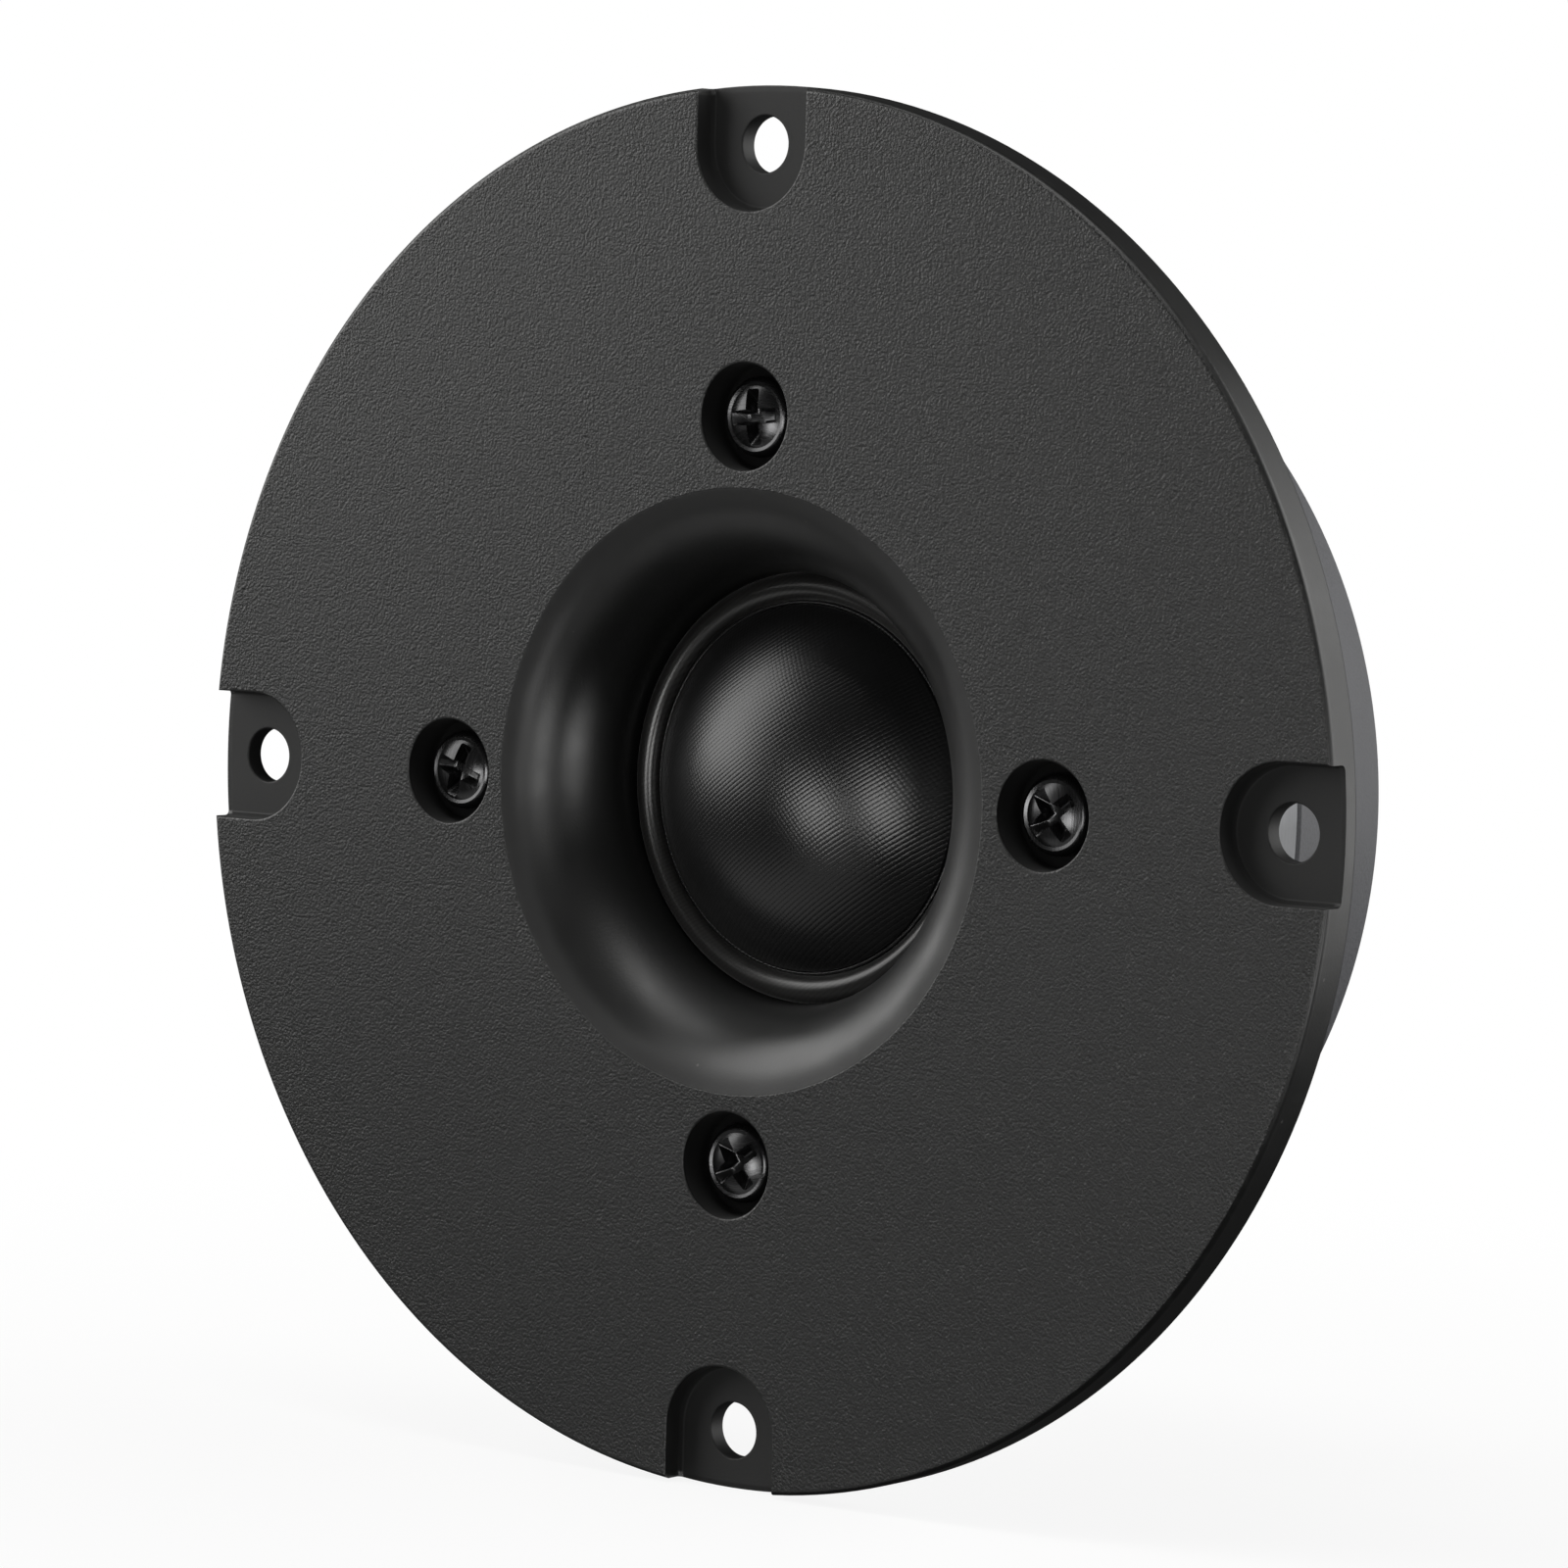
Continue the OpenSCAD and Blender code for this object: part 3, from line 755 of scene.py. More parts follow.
def stone_finish(name, base, darker, size, depth, roughness):
    """A grained solid such as ferrite, felt, foam, paper or resin, with its darker share."""
    tree, shader, place = new_finish(name)
    grain = use_group(tree, "grain", place, Size=size, Grit=1.2)
    plain, other = rgba(base), rgba(base, darker)
    drift = use_group(tree, "drift", place, Colour=plain, Other_Colour=other, Cloud_Size=0.009)
    speckled = mixed(tree, grain["Shade"], drift["Colour"], rgba(base, 1.25))
    rough = ramp(tree, grain["Shade"], 0.0, 1.0, roughness - 0.06, roughness + 0.06)
    set_shader(tree, shader, Base_Color=speckled, Roughness=rough)
    relief(tree, shader, [(grain["Height"], depth)])


# ---------------------------------------------------------------- operators


class TWEETER_OT_finishes(bpy.types.Operator):
    """Make the finishes of every piece"""

    bl_idname = "tweeter.finishes"
    bl_label = "Finishes"

    def execute(self, context):
        sizes, colours = context.scene.tweeter_sizes, context.scene.tweeter_colours
        faceplate_finish(sizes, colours)
        pitch = sizes.weave_pitch
        cloth_finish("dome silk", colours.silk, 0.05, pitch, 0.0125, 0.32, 0.3)
        cloth_finish("surround cloth", colours.roll, 0.15, pitch, 0.002, 0.30, 0.5)
        # The ring on the screw heads is a painted highlight: lighter black oxide in place of the
        # glints on their lips.
        painted_glint_ring = (sizes.screw_radius / MM, front_height("plate_screws"))
        metal_finish("black oxide", colours.screw, 0.26, 0.0002, 0.9, [painted_glint_ring], 1.5)
        edges = [(outer_radius("back_plate"), REAR), (outer_radius("front_pole_plate"), PLATE)]
        metal_finish("zinc steel", colours.zinc, 0.48, 0.00022, 1.0, edges)
        metal_finish("sheet copper", colours.copper, 0.28, 0.00012)
        metal_finish("enamelled wire", (0.42, 0.11, 0.035), 0.24, 0.0002, 0.6)
        metal_finish("blade brass", colours.brass, 0.26, 0.00035)
        metal_finish("tin solder", (0.62, 0.62, 0.63), 0.22, 0.0006)
        stone_finish("ferrite", colours.ferrite, 0.8, 0.0003, 0.012, 0.62)
        stone_finish("felt", colours.felt, 0.6, 0.00035, 0.09, 0.92)
        stone_finish("foam", (0.03, 0.03, 0.032), 0.5, 0.0004, 0.06, 0.9)
        stone_finish("inner plastic", (0.018, 0.018, 0.02), 0.7, 0.0005, 0.01, 0.45)
        stone_finish("kraft paper", (0.42, 0.30, 0.17), 0.8, 0.0003, 0.01, 0.8)
        stone_finish("amber film", (0.55, 0.26, 0.06), 0.85, 0.0006, 0.002, 0.25)
        return {"FINISHED"}


class TWEETER_OT_faceplate(bpy.types.Operator):
    """Model the faceplate: flange, horn, hub, sunk ears and counterbores"""

    bl_idname = "tweeter.faceplate"
    bl_label = "Faceplate"

    FLARE_SLOPE = 12
    LIP_OUTER = 20.2
    RING = (22.3, 23.8)
    WALL = (32.03, 34.43)
    BOSS_WALL = 1.2
    INTO_FLANGE = 0.5
    RIB_TURNS = [quarter + turn for quarter in QUARTERS for turn in (33, 57)]

    def outline(self, s):
        """Half section of the flange, the horn and the rings behind it."""
        throat, mouth = s.throat / MM, s.mouth / MM
        slope = math.radians(self.FLARE_SLOPE)
        flare = (mouth - throat) / (1 - math.sin(slope))
        centre = (throat + flare, FACE - flare * math.cos(slope))
        rim = outer_radius("faceplate")
        lip, ring, wall = self.LIP_OUTER, self.RING, self.WALL
        corners = [
            (throat, LIP, 0.25), (lip, LIP, 0.2), (lip, 0),
            (ring[0], 0), (ring[0], PLATE, 0.15), (ring[1], PLATE, 0.15), (ring[1], 0),
            (wall[0], 0), (wall[0], PLATE, 0.2), (wall[1], PLATE, 0.2), (wall[1], 0, 0.5),
            (rim, 0, 0.25), (rim, FACE, s.edge_round / MM), (mouth, FACE), (throat, centre[1]),
        ]
        flare_line = arc(centre, flare, 90 + self.FLARE_SLOPE, 180)
        return rounded(corners)[:-1] + flare_line[1:]

    def pocket(self, half, floor, fillet, lip):
        """Half section of a sunk pocket with a filleted floor and a rounded lip."""
        return [
            (0, floor),
            *arc((half - fillet, floor + fillet), fillet, -90, 0),
            *arc((half + lip, FACE - lip), lip, 180, 90),
            (half + lip, FACE + OVERCUT),
            (0, FACE + OVERCUT),
        ]

    def ear_tool(self, s):
        """Cutter of one ear: a round end on the hole, run out past the rim."""
        section = self.pocket(
            s.ear_half / MM, FACE - s.ear_depth / MM, s.ear_fillet / MM, s.lip_round / MM
        )
        tool = drawn("ear tool", [Vector((0, -h, r)) * MM for r, h in section])
        spin_all(32, 180)
        bpy.ops.mesh.remove_doubles(threshold=MERGE_GAP)
        bpy.ops.object.mode_set(mode="OBJECT")
        pick(tool, lambda x, h, z: abs(x) < 1e-4)
        bpy.ops.mesh.extrude_region_move(TRANSFORM_OT_translate={"value": (8 * MM, 0, 0)})
        bpy.ops.mesh.edge_face_add()
        bpy.ops.mesh.select_all(action="SELECT")
        bpy.ops.transform.translate(value=(s.mount_radius, 0, 0))
        close_edit()
        return tool

    def hole_tools(self, s):
        """Cutters of a plate screw's hole and counterbore, and of a mounting hole."""
        lip, seat, hole, clearance = s.lip_round / MM, s.seat / MM, s.mount_hole / MM, 1.65
        reach = PLATE - OVERCUT
        bore = self.pocket(s.counterbore / MM, seat, lip, lip)
        bore = [(0, reach), (clearance, reach), (clearance, seat), *bore[1:]]
        screw = turned("screw tool", bore, False, SMALL_STEPS, (s.screw_radius / MM, 0))
        floor, edge = FACE - s.ear_depth / MM, 0.15
        through = [
            (0, -OVERCUT),
            (hole, -OVERCUT),
            *arc((hole + edge, floor - edge), edge, 180, 90),
            (hole + edge, FACE),
            (0, FACE),
        ]
        mount = turned("hole tool", through, False, SMALL_STEPS, (s.mount_radius / MM, 0))
        return screw, mount

    def execute(self, context):
        s = context.scene.tweeter_sizes
        plate = turned("moulded_faceplate", self.outline(s))
        boss = rod(s.counterbore / MM + self.BOSS_WALL, PLATE, self.INTO_FLANGE)
        at = (s.screw_radius / MM, 0)
        bosses = repeated(lambda: turned("boss", boss, False, SMALL_STEPS, at))
        carve(plate, bosses, "UNION")
        rib = (23.5, PLATE + 1, -0.8), (32.3, self.INTO_FLANGE, 0.8)
        carve(plate, repeated(lambda: block("rib", *rib), self.RIB_TURNS), "UNION")
        carve(plate, repeated(lambda: self.ear_tool(s)))
        carve(plate, [turn_about_axis(tool, q) for q in QUARTERS for tool in self.hole_tools(s)])
        window = block("window", (21.4, PLATE - 1, -10.1), (35.5, PLATE + 3, 10.1))
        carve(plate, [turn_about_axis(window, TERMINAL_TURN)])
        room = block("room", (21.3, PLATE - 1, -8), (31.4, 0, 8))
        carve(plate, [turn_about_axis(room, TERMINAL_TURN)])
        mouth = s.mouth / MM
        edit_all(plate)
        bpy.ops.mesh.remove_doubles(threshold=MERGE_GAP)
        pick(plate, lambda x, h, z: abs(math.hypot(x, z) - mouth) < 0.01 and h > FACE - 0.01)
        bpy.ops.mesh.mark_sharp()
        bpy.ops.object.mode_set(mode="OBJECT")
        complete(plate, "charcoal plastic", "faceplate", "faceplate_plastic", angle=30)
        return {"FINISHED"}


class TWEETER_OT_plate_screws(bpy.types.Operator):
    """Model a cross-recessed pan head screw, and place it and its three copies"""

    bl_idname = "tweeter.plate_screws"
    bl_label = "Plate screws"

    THREAD, ROOT = 1.5, 1.27
    RECESS_DEPTH = 1.3
    ARM_HALF = 0.68
    ARM_OVERLENGTH = 1.36  # an arm is drawn longer, because it narrows with depth
    DOME = ((0, 0), (0.5, 0.01), (1.0, 0.06), (1.5, 0.15), (1.95, 0.28), (2.3, 0.43))
    PLACES = {"right": (0, 38), "top": (90, 5), "left": (180, -20), "bottom": (270, 38)}

    def cross_tool(self, top, span):
        """Cutter of a cross recess whose arms narrow with depth."""
        arms = []
        long, thick = span / 2 * self.ARM_OVERLENGTH, self.ARM_HALF
        for turn in (0, 90):
            low, high = top - self.RECESS_DEPTH, top + 0.5
            arm = block("arm", (-long, low, -thick), (long, high, thick))
            pick(arm, lambda x, h, z: h < top)
            bpy.ops.transform.resize(value=(0.42, 1, 0.54), center_override=(0, 0, 0))
            bpy.ops.object.mode_set(mode="OBJECT")
            bevel_all(arm, 0.16, 3)
            arms.append(turn_about_axis(arm, turn))
        carve(arms[0], arms[1:], "UNION")
        return arms[0]

    def execute(self, context):
        s = context.scene.tweeter_sizes
        seat, head = s.seat / MM, s.head / MM
        top, tip = front_height("plate_screws"), rear_height("plate_screws")
        outline = [
            *((r, top - drop) for r, drop in self.DOME),
            *arc((head - 0.85, top - 1.12), 0.85, 62, 0),
            *arc((head - 0.15, seat + 0.15), 0.15, 0, -90),
            (self.THREAD, seat),
        ]
        for turn in range(4):
            high = PLATE - 0.3 - 0.5 * turn
            outline += [(self.THREAD, high), (self.THREAD, high - 0.1), (self.ROOT, high - 0.3)]
        outline += [(self.ROOT, tip + 0.3), (1.0, tip), (0, tip)]
        screw = turned("screw_right", outline, False, 96)
        carve(screw, [self.cross_tool(top, s.cross / MM)])
        smooth(screw, 35, True)
        dress(screw, "black oxide", "plate_screws")
        screws = {"right": screw}
        for side in ("top", "left", "bottom"):
            screws[side] = copy_of(screw, "screw_" + side)
            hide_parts("plate_screws")
        for side, (turn, driven) in self.PLACES.items():
            turn_about_axis(screws[side], driven)
            edit_all(screws[side])
            bpy.ops.transform.translate(value=(s.screw_radius, 0, 0))
            bpy.ops.object.mode_set(mode="OBJECT")
            turn_about_axis(screws[side], turn)
            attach(screws[side], CHASSIS)
        return {"FINISHED"}


class TWEETER_OT_diaphragm(bpy.types.Operator):
    """Model the dome, the surround, the gasket, the coil and the carrier ring"""

    bl_idname = "tweeter.diaphragm"
    bl_label = "Diaphragm"

    SKIN = 0.25
    BEAD = 0.16
    DOME_INNER = 13.63
    FOOT_INNER = 14.02
    RING_INNER = 16.3
    WIRE_TURNS = 14

    def dome(self):
        """The spherical cloth cap, its glued rim and the bead at its edge."""
        low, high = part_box("dome")
        edge, apex, rim = high.x / MM, -low.y / MM, -high.y / MM
        ball_edge = rim + 0.18
        rise = apex - ball_edge
        ball = (edge * edge + rise * rise) / (2 * rise)
        centre = (0, apex - ball)
        start = math.degrees(math.acos(edge / ball))
        outline = [
            *arc(centre, ball, 90, start + 1.6),
            *arc((edge - self.BEAD, ball_edge + 0.06), self.BEAD, 165, -30),
            (edge, rim),
            (self.DOME_INNER, rim),
            (self.DOME_INNER, ball_edge - 0.1),
            *arc(centre, ball - self.SKIN, start + 2.0, 90),
        ]
        dome = turned("dome_cap", outline, closed=False)
        complete(dome, "dome silk", "dome", "dome_silk", DIAPHRAGM, 40, weighted=False)

    def surround(self, s):
        """The half roll of cloth, with its clamped flange and its glued foot."""
        throat = s.throat / MM
        low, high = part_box("surround")
        flange_r, foot = high.x / MM, -high.y / MM
        roll_r = -low.y / MM - BASE
        middle = throat - roll_r
        inner = self.FOOT_INNER
        outline = [
            (inner, foot),
            (inner, BASE),
            *arc((middle, BASE), roll_r, 180, 0),
            (flange_r, BASE),
            (flange_r, RING_TOP),
            (throat - self.SKIN, RING_TOP),
            *arc((middle, BASE), roll_r - self.SKIN, 0, 180),
            (inner + 0.33, foot),
        ]
        roll = turned("surround_roll", outline)
        smooth(roll, 40, False)
        dress(roll, "surround cloth", "surround")
        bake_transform(roll)

    def winding_line(self, former, winding):
        """Half section of the winding, with a round for each turn of wire."""
        low, high = rear_height("voice_coil"), front_height("voice_coil")
        wire = (high - low) / self.WIRE_TURNS / 2
        line = [(former, high), (former, low)]
        for k in range(self.WIRE_TURNS):
            at = (winding - wire, low + wire * (2 * k + 1))
            for a in (math.radians(d) for d in (-75, -40, 0, 40, 75)):
                line.append((at[0] + wire * math.cos(a), at[1] + wire * math.sin(a)))
        return line

    def coil(self):
        """The former, its winding in even turns and the paper over its tails."""
        former = outer_radius("coil_former")
        low, high = rear_height("coil_former"), front_height("coil_former")
        film = turned("former_tube", tube(former - 0.12, former, low, high))
        complete(film, "amber film", "coil_former", "former_film", DIAPHRAGM, weighted=False)
        winding = turned("winding", self.winding_line(former, outer_radius("voice_coil")))
        complete(winding, "enamelled wire", "voice_coil", "coil_wire", DIAPHRAGM, 60, False)
        low, high = rear_height("coil_collar"), front_height("coil_collar")
        paper = turned("paper_collar", tube(former, former + 0.1, low, high))
        complete(paper, "kraft paper", "coil_collar", "collar_paper", DIAPHRAGM, weighted=False)

    def execute(self, context):
        s = context.scene.tweeter_sizes
        self.dome()
        self.surround(s)
        self.coil()
        outer = outer_radius("front_gasket")
        inner = s.throat / MM + 0.2
        line = rounded([(inner, BASE, 0.08), (outer, BASE, 0.08), (outer, LIP), (inner, LIP)])
        gasket = turned("foam_gasket", line)
        complete(gasket, "foam", "front_gasket", "gasket_foam", CHASSIS, weighted=False)
        inner, outer = self.RING_INNER, outer_radius("diaphragm_ring")
        line = [(inner, PLATE, 0.1), (outer, PLATE, 0.1), (outer, RING_TOP, 0.1)]
        ring = turned("carrier_ring", rounded([*line, (inner, RING_TOP)]))
        slots = []
        for at in (-TERMINAL_SIDE, TERMINAL_SIDE):
            slot = block("slot", (12, PLATE - 1, at - 0.8), (24, PLATE + 0.78, at + 0.8))
            slots.append(turn_about_axis(slot, TERMINAL_TURN))
        carve(ring, slots)
        complete(ring, "inner plastic", "diaphragm_ring", "inner_plastic")
        return {"FINISHED"}


class TWEETER_OT_motor(bpy.types.Operator):
    """Model the plates, the magnet, the pole, the copper cap and the felts"""

    bl_idname = "tweeter.motor"
    bl_label = "Motor"

    PLATE_BORE = 14.66
    MAGNET_BORE = 17.96
    STAKE = 7
    CHAMBER = (5.0, 13)
    TAP = 1.52

    def chamfered(self, inner, outer, low, high):
        """Half section of a ring with softened chamfers outside and broken edges inside."""
        chamfer, soft = 0.3, 0.1
        corners = [
            (inner, low),
            (outer - chamfer, low),
            (outer, low + chamfer),
            (outer, high - chamfer),
            (outer - chamfer, high),
            (inner, high),
        ]
        return rounded([(*corner, soft) for corner in corners])

    def front_plate(self, s):
        """The front pole plate, with a hole for each plate screw."""
        line = self.chamfered(self.PLATE_BORE, outer_radius("front_pole_plate"), MAGNET_TOP, PLATE)
        plate = turned("front_plate", line)
        tap = rod(self.TAP, MAGNET_TOP - OVERCUT, PLATE + OVERCUT)
        at = (s.screw_radius / MM, 0)
        carve(plate, repeated(lambda: turned("tap", tap, False, SMALL_STEPS, at)))
        complete(plate, "zinc steel", "front_pole_plate", "zinc_steel")

    def execute(self, context):
        self.front_plate(context.scene.tweeter_sizes)
        magnet_r, back_r = outer_radius("ring_magnet"), outer_radius("back_plate")
        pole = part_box("pole_piece")
        pole_r, pole_top = pole[1].x / MM, -pole[0].y / MM
        felt_r, depth = self.CHAMBER
        chamber_low = pole_top - depth
        stake = self.STAKE
        pole_line = [
            (0, chamber_low), (felt_r, chamber_low), (felt_r, pole_top), (pole_r, pole_top),
            (pole_r, MAGNET_LOW), (stake, MAGNET_LOW), (stake, REAR + 0.3), (stake - 0.3, REAR),
            (3, REAR), (2, REAR + 1), (0, REAR + 1),
        ]
        cap, cap_low = outer_radius("copper_cap"), rear_height("copper_cap")
        cap_line = rounded(
            [
                (pole_r, cap_low), (cap, cap_low), (cap, PLATE, 0.12),
                (felt_r, PLATE), (felt_r, pole_top), (pole_r, pole_top),
            ]
        )
        felt_out, felt_high = outer_radius("dome_felt"), front_height("dome_felt")
        felt_line = rounded(
            [
                (felt_r, PLATE, 0.2), (felt_out, PLATE, 0.2),
                (felt_out, felt_high, 0.4), (felt_r, felt_high, 0.4),
            ]
        )
        plug_r, plug_high = outer_radius("chamber_felt"), front_height("chamber_felt")
        plug = rounded([(plug_r, chamber_low), (plug_r, plug_high, 0.5), (0.5, plug_high)])
        plug_line = [(0, chamber_low), *plug[:-1], (0, plug_high)]
        magnet_line = self.chamfered(self.MAGNET_BORE, magnet_r, MAGNET_LOW, MAGNET_TOP)
        back_line = self.chamfered(stake, back_r, REAR, MAGNET_LOW)
        for name, line, closed, finish, node, slot_name in (
            ("ferrite_ring", magnet_line, True, "ferrite", "ring_magnet", "ferrite"),
            ("rear_plate", back_line, True, "zinc steel", "back_plate", "zinc_steel"),
            ("pole", pole_line, False, "zinc steel", "pole_piece", "zinc_steel"),
            ("pole_cap", cap_line, True, "sheet copper", "copper_cap", "cap_copper"),
            ("under_dome_felt", felt_line, True, "felt", "dome_felt", "grey_felt"),
            ("chamber_plug", plug_line, False, "felt", "chamber_felt", "grey_felt"),
        ):
            complete(turned(name, line, closed), finish, node, slot_name)
        return {"FINISHED"}


class TWEETER_OT_terminals(bpy.types.Operator):
    """Model the terminal block, its blades, rivets, solder and lead-out wires"""

    bl_idname = "tweeter.terminals"
    bl_label = "Terminals"

    TOP = PLATE + 3
    RIVET = 29.4
    RIVET_HOLE = 1
    SOLDER = 26.115
    WIDE, NARROW = 4.8, 2.8
    BLADE_THICK = 0.5
    COIL_SIDE = 14.36
    WIRE = (0.8, 0.15)

    def pin(self, name, outline, at, side):
        """A small piece turned on a blade's middle line, at a distance along it."""
        return turned(name, outline, False, PIN_STEPS, (at, side * TERMINAL_SIDE))

    def blade(self, side, width, name, node):
        """A flat blade with a pointed nose and a rivet hole."""
        low, high = self.TOP - self.BLADE_THICK, self.TOP
        nose, inner, tip = 0.8, 24.8, 45.5
        half = width / 2
        corners = [
            (inner, -half), (tip - nose, -half), (tip, nose - half),
            (tip, half - nose), (tip - nose, half), (inner, half),
        ]
        points = [Vector((x, -low, side * TERMINAL_SIDE + z)) * MM for x, z in corners]
        blade = drawn(name, points)
        bpy.ops.mesh.select_all(action="SELECT")
        bpy.ops.mesh.edge_face_add()
        bpy.ops.mesh.extrude_region_move(
            TRANSFORM_OT_translate={"value": (0, (low - high) * MM, 0)}
        )
        close_edit()
        hole = rod(self.RIVET_HOLE, low - OVERCUT, high + OVERCUT)
        carve(blade, [self.pin("hole", hole, self.RIVET, side)])
        bevel_all(blade, 0.05, 2)
        complete(blade, "blade brass", node, "blade_brass", turn=TERMINAL_TURN)

    def lead(self, side, name, node):
        """A flat wire from the coil, under the carrier ring and up on to its blade."""
        wide, thick = self.WIRE
        start = math.sqrt((self.COIL_SIDE + 0.15) ** 2 - TERMINAL_SIDE ** 2)
        low = PLATE + 0.35
        line = [
            (start, low), (16.3, low + 0.12), (21.2, low),
            (21.7, low), (23.3, self.TOP), (26.715, self.TOP),
        ]
        points = []
        for (x, h), (x2, h2) in zip(line, line[1:]):
            points += [(x + (x2 - x) * k / 6, h + (h2 - h) * k / 6) for k in range(6)]
        points.append(line[-1])
        edge = side * TERMINAL_SIDE - wide / 2
        wire = drawn(name, [Vector((x, -h, edge)) * MM for x, h in points])
        for move in ((0, 0, wide * MM), (0, -thick * MM, 0)):
            bpy.ops.mesh.select_all(action="SELECT")
            bpy.ops.mesh.extrude_region_move(TRANSFORM_OT_translate={"value": move})
        close_edit()
        bevel_all(wire, 0.03, 2, 60)
        smooth(wire, 40, False)
        turn_about_axis(wire, TERMINAL_TURN)
        dress(wire, "sheet copper", node)
        c = math.cos(math.radians(TERMINAL_TURN)) * MM
        start, end = (16.3 * c, 0, 16.3 * c), (13.7 * c, 0, 13.7 * c)
        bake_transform(wire)

    def terminal_block(self):
        """The moulding, with a seat for each blade and a hole for each rivet."""
        top = self.TOP
        body = block("terminal_moulding", (24.2, PLATE, -10), (38.0, top, 10))
        stem = [
            (0, PLATE - 1), (2.1, PLATE - 1), (2.1, PLATE + 0.9),
            (self.RIVET_HOLE, PLATE + 0.9), (self.RIVET_HOLE, top + 1), (0, top + 1),
        ]
        for side, width in ((1, self.WIDE), (-1, self.NARROW)):
            at, half = side * TERMINAL_SIDE, width / 2 + 0.1
            seat_low = (24.7, top - self.BLADE_THICK, at - half)
            carve(body, [block("seat", seat_low, (40, top + 1, at + half))])
            carve(body, [self.pin("stem", stem, self.RIVET, side)])
        bevel_all(body, 0.15, 3)
        complete(body, "inner plastic", "terminal_block", "inner_plastic", turn=TERMINAL_TURN)

    def execute(self, context):
        top = self.TOP
        self.terminal_block()
        self.blade(1, self.WIDE, "wide_blade", "positive_blade")
        self.blade(-1, self.NARROW, "narrow_blade", "negative_blade")
        self.lead(1, "wide_blade_lead", "positive_lead_wire")
        self.lead(-1, "narrow_blade_lead", "negative_lead_wire")
        tail, head_r = PLATE + 0.4, 1.8
        rivet_line = [
            (0, tail), (head_r - 0.15, tail), (head_r, tail + 0.15), (head_r, tail + 0.5),
            (1.0, tail + 0.5), (1.0, top), (head_r, top),
            *arc((1.0, top - 0.3), 0.8, 22, 90), (0, top + 0.5),
        ]
        bump = [
            (0, top), (1.1, top), (0.98, top + 0.16), (0.86, top + 0.42), (0.68, top + 0.68),
            (0.42, top + 0.9), (0.18, top + 1.0), (0, top + 1.02),
        ]
        look = {"weighted": False, "turn": TERMINAL_TURN}
        for key, side in (("wide", 1), ("narrow", -1)):
            rivet = self.pin(key + "_blade_rivet", rivet_line, self.RIVET, side)
            complete(rivet, "blade brass", "blade_rivets", "blade_brass", **look)
            joint = self.pin(key + "_blade_solder", bump, self.SOLDER, side)
            complete(joint, "tin solder", "solder_joints", "solder", angle=60, **look)
        return {"FINISHED"}


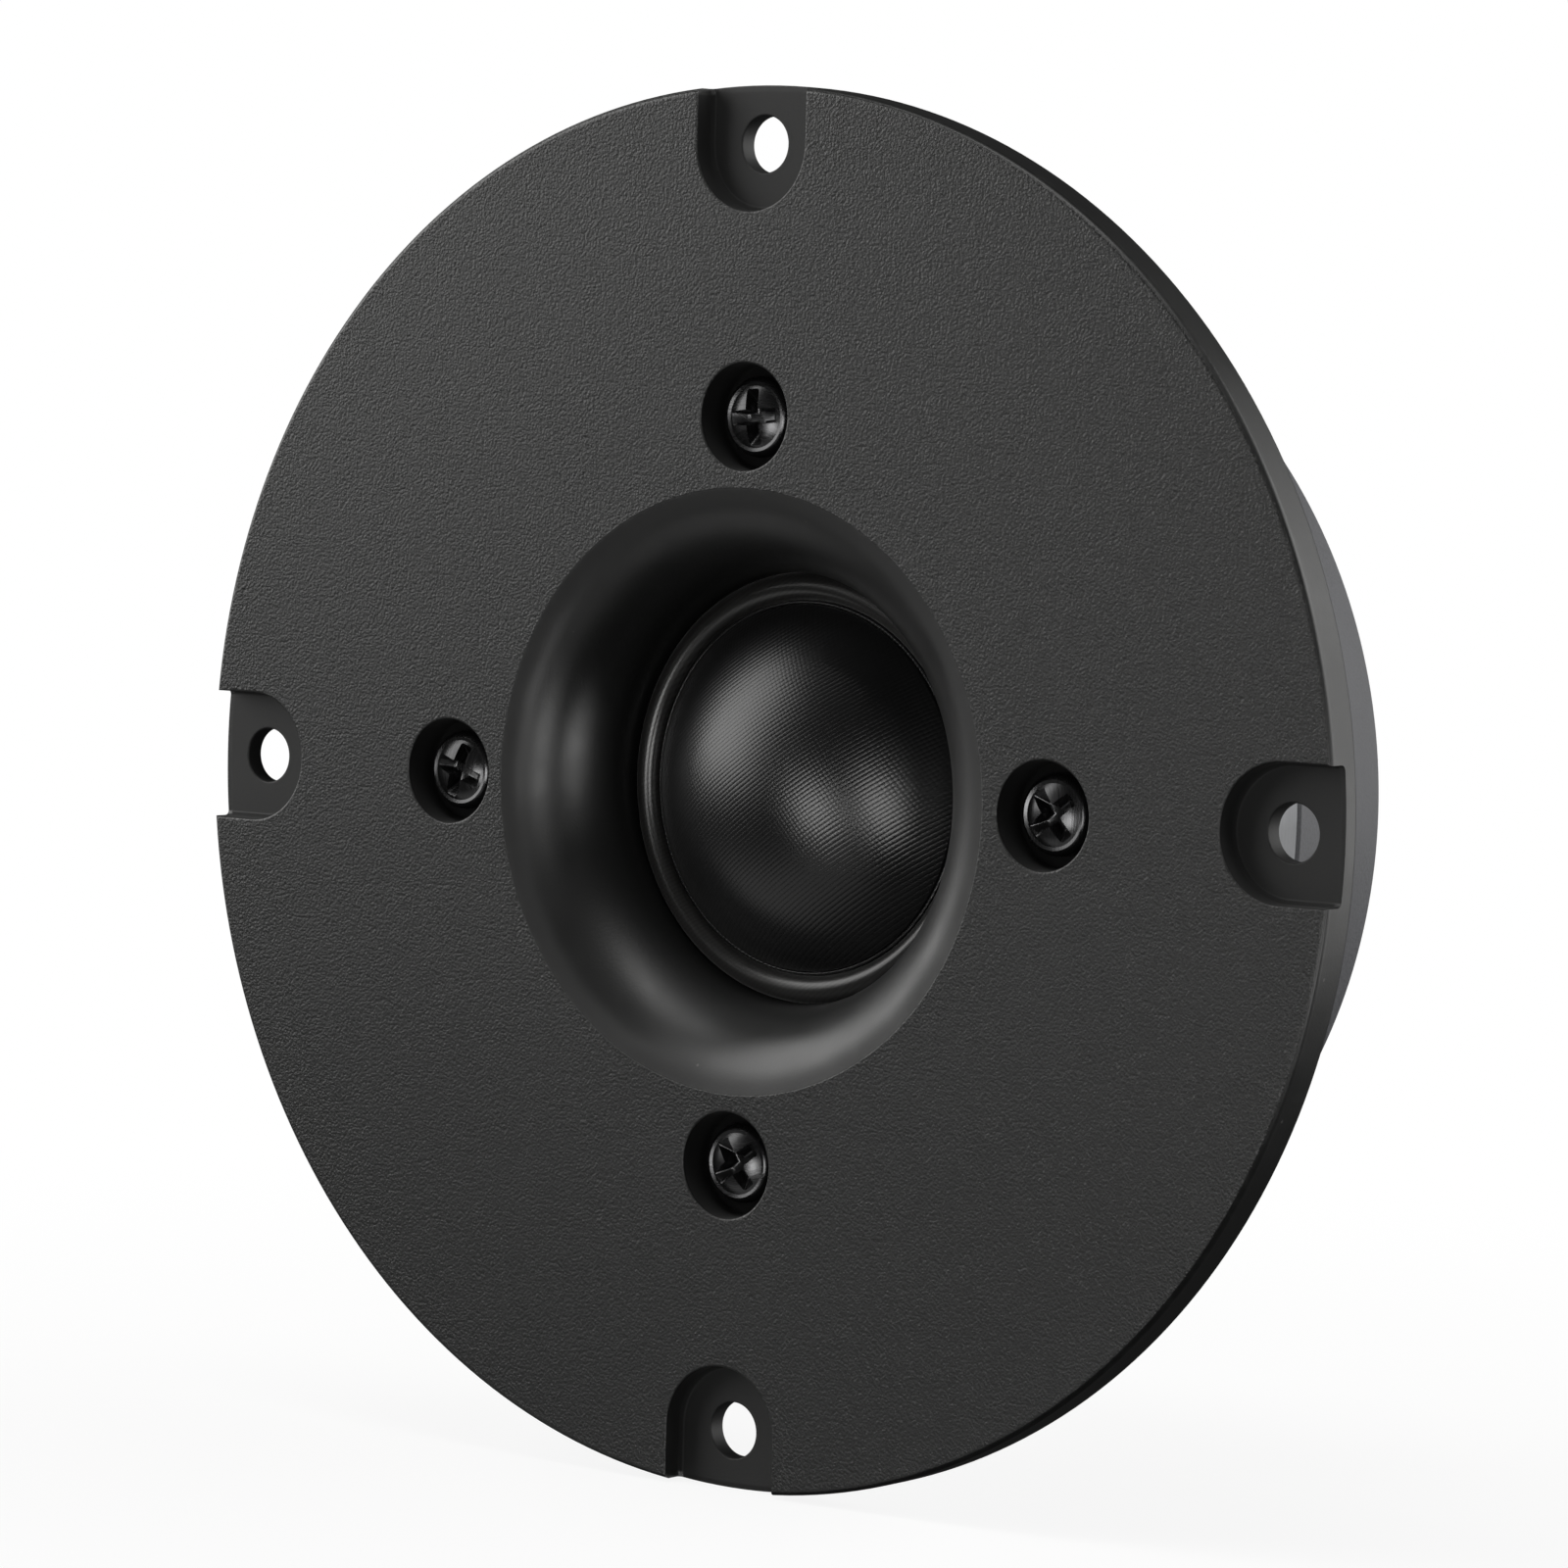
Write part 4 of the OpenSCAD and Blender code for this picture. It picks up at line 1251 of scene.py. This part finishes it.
class TWEETER_OT_stage(bpy.types.Operator):
    """Set up the floor, the lights and the camera"""

    bl_idname = "tweeter.stage"
    bl_label = "Stage"

    def softbox(self, name, turn, rise, wide, tall, radiance, distance=0.7):
        """A soft light with its turn, rise and size as seen from the tweeter, in degrees."""
        a, e = math.radians(turn), math.radians(rise)
        away = Vector((math.sin(a) * math.cos(e), -math.cos(a) * math.cos(e), math.sin(e)))
        clear_selection()
        bpy.ops.object.light_add(type="AREA", location=away * distance)
        light = named(name)
        light.rotation_euler = away.to_track_quat("Z", "Y").to_euler()
        light.data.shape = "RECTANGLE"
        light.data.size = 2 * distance * math.tan(math.radians(wide / 2))
        light.data.size_y = 2 * distance * math.tan(math.radians(tall / 2))
        light.data.energy = radiance * math.pi * light.data.size * light.data.size_y
        light.data.color = (1.0, 0.997, 0.985)
        light.visible_camera = False

    def floor(self):
        """A pale floor under the flange, hardly marked by the soft shadow."""
        clear_selection()
        ground = CAD_BOX[0].z
        bpy.ops.mesh.primitive_plane_add(size=12, location=(0, 0, ground))
        floor = bpy.context.object
        floor.name = "floor"
        paint = bpy.data.materials.new("pale floor")
        paint.use_nodes = True
        tree = paint.node_tree
        tree.nodes.clear()
        matt = put(tree, "ShaderNodeBsdfDiffuse", {"Color": (0.8, 0.8, 0.8, 1)})
        glow = put(tree, "ShaderNodeEmission", {"Strength": 1.0})
        place = put(tree, "ShaderNodeTexCoord").outputs["Object"]
        far = put(tree, "ShaderNodeVectorMath", {0: place}, operation="LENGTH")
        fade = ramp(tree, far.outputs["Value"], 0.03, 0.2, 0.88, 1.0)
        shaders = {0: fade, 1: matt.outputs[0], 2: glow.outputs[0]}
        both = put(tree, "ShaderNodeMixShader", shaders)
        put(tree, "ShaderNodeOutputMaterial", {"Surface": both.outputs[0]})
        floor.data.materials.append(paint)
        floor.visible_glossy = False
        floor.visible_diffuse = False

    def world(self):
        """White behind the tweeter, and a dim room for its reflections."""
        world = bpy.data.worlds.new("studio")
        bpy.context.scene.world = world
        world.use_nodes = True
        tree = world.node_tree
        tree.nodes.clear()
        path = put(tree, "ShaderNodeLightPath")
        white = put(tree, "ShaderNodeBackground", {"Color": (1, 1, 1, 1), "Strength": 1.0})
        dim = put(tree, "ShaderNodeBackground", {"Color": (1, 1, 1, 1), "Strength": 0.03})
        seen = path.outputs["Is Camera Ray"]
        shaders = {0: seen, 1: dim.outputs[0], 2: white.outputs[0]}
        both = put(tree, "ShaderNodeMixShader", shaders)
        put(tree, "ShaderNodeOutputWorld", {"Surface": both.outputs[0]})

    def camera(self):
        """The camera, to the right of the tweeter and a little above it."""
        right = Vector((0.79505, 0.60602, 0.02514))
        up = Vector((-0.05964, 0.03686, 0.99754))
        back = right.cross(up)
        clear_selection()
        bpy.ops.object.camera_add(location=(0.28037, -0.36625, 0.03081))
        camera = bpy.context.object
        camera.name = "camera"
        camera.rotation_euler = Matrix((right, up, back)).transposed().to_euler()
        camera.data.lens = 143.1
        camera.data.sensor_width = 36
        camera.data.clip_start = 0.01
        bpy.context.scene.camera = camera

    def execute(self, context):
        self.floor()
        self.world()
        self.camera()
        self.softbox("front softbox", -5, -10, 18, 18, 10.2)
        self.softbox("front right softbox", 27, -8, 14, 24, 9.8)
        self.softbox("right softbox", 66, -12, 18, 28, 7.0)
        self.softbox("overhead softbox", 2, 73, 44, 14, 6.0)
        self.softbox("left softbox", -68, 23, 52, 46, 3.9)
        self.softbox("side softbox", 121, 14, 56, 60, 3.7)
        self.softbox("low softbox", -30, -45, 80, 26, 0.6)
        context.scene.view_settings.view_transform = "Standard"
        return {"FINISHED"}


class TWEETER_PT_panel(bpy.types.Panel):
    """The steps that build the tweeter"""

    bl_idname = "TWEETER_PT_panel"
    bl_label = "Tweeter"
    bl_space_type = "VIEW_3D"
    bl_region_type = "UI"
    bl_category = "Tweeter"

    def draw(self, context):
        for key in ("tweeter_sizes", "tweeter_colours"):
            group = getattr(context.scene, key)
            box = self.layout.box()
            for name in group.__annotations__:
                box.prop(group, name)
        for operator in OPERATORS:
            self.layout.operator(operator.bl_idname)


OPERATORS = (
    TWEETER_OT_finishes,
    TWEETER_OT_faceplate,
    TWEETER_OT_plate_screws,
    TWEETER_OT_diaphragm,
    TWEETER_OT_motor,
    TWEETER_OT_terminals,
    TWEETER_OT_stage,
)
CLASSES = (TweeterSizes, TweeterColours, *OPERATORS, TWEETER_PT_panel)


def register():
    """Registers the classes and the scene's properties."""
    for c in CLASSES:
        bpy.utils.register_class(c)
    bpy.types.Scene.tweeter_sizes = bpy.props.PointerProperty(type=TweeterSizes)
    bpy.types.Scene.tweeter_colours = bpy.props.PointerProperty(type=TweeterColours)


def unregister():
    """Removes what register added."""
    del bpy.types.Scene.tweeter_colours
    del bpy.types.Scene.tweeter_sizes
    for c in reversed(CLASSES):
        bpy.utils.unregister_class(c)


def main():
    """Builds every piece."""
    register()
    bpy.ops.tweeter.finishes()
    bpy.ops.tweeter.faceplate()
    bpy.ops.tweeter.plate_screws()
    bpy.ops.tweeter.diaphragm()
    bpy.ops.tweeter.motor()
    bpy.ops.tweeter.terminals()
    bpy.ops.tweeter.stage()
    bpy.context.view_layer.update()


if __name__ == "__main__":
    main()
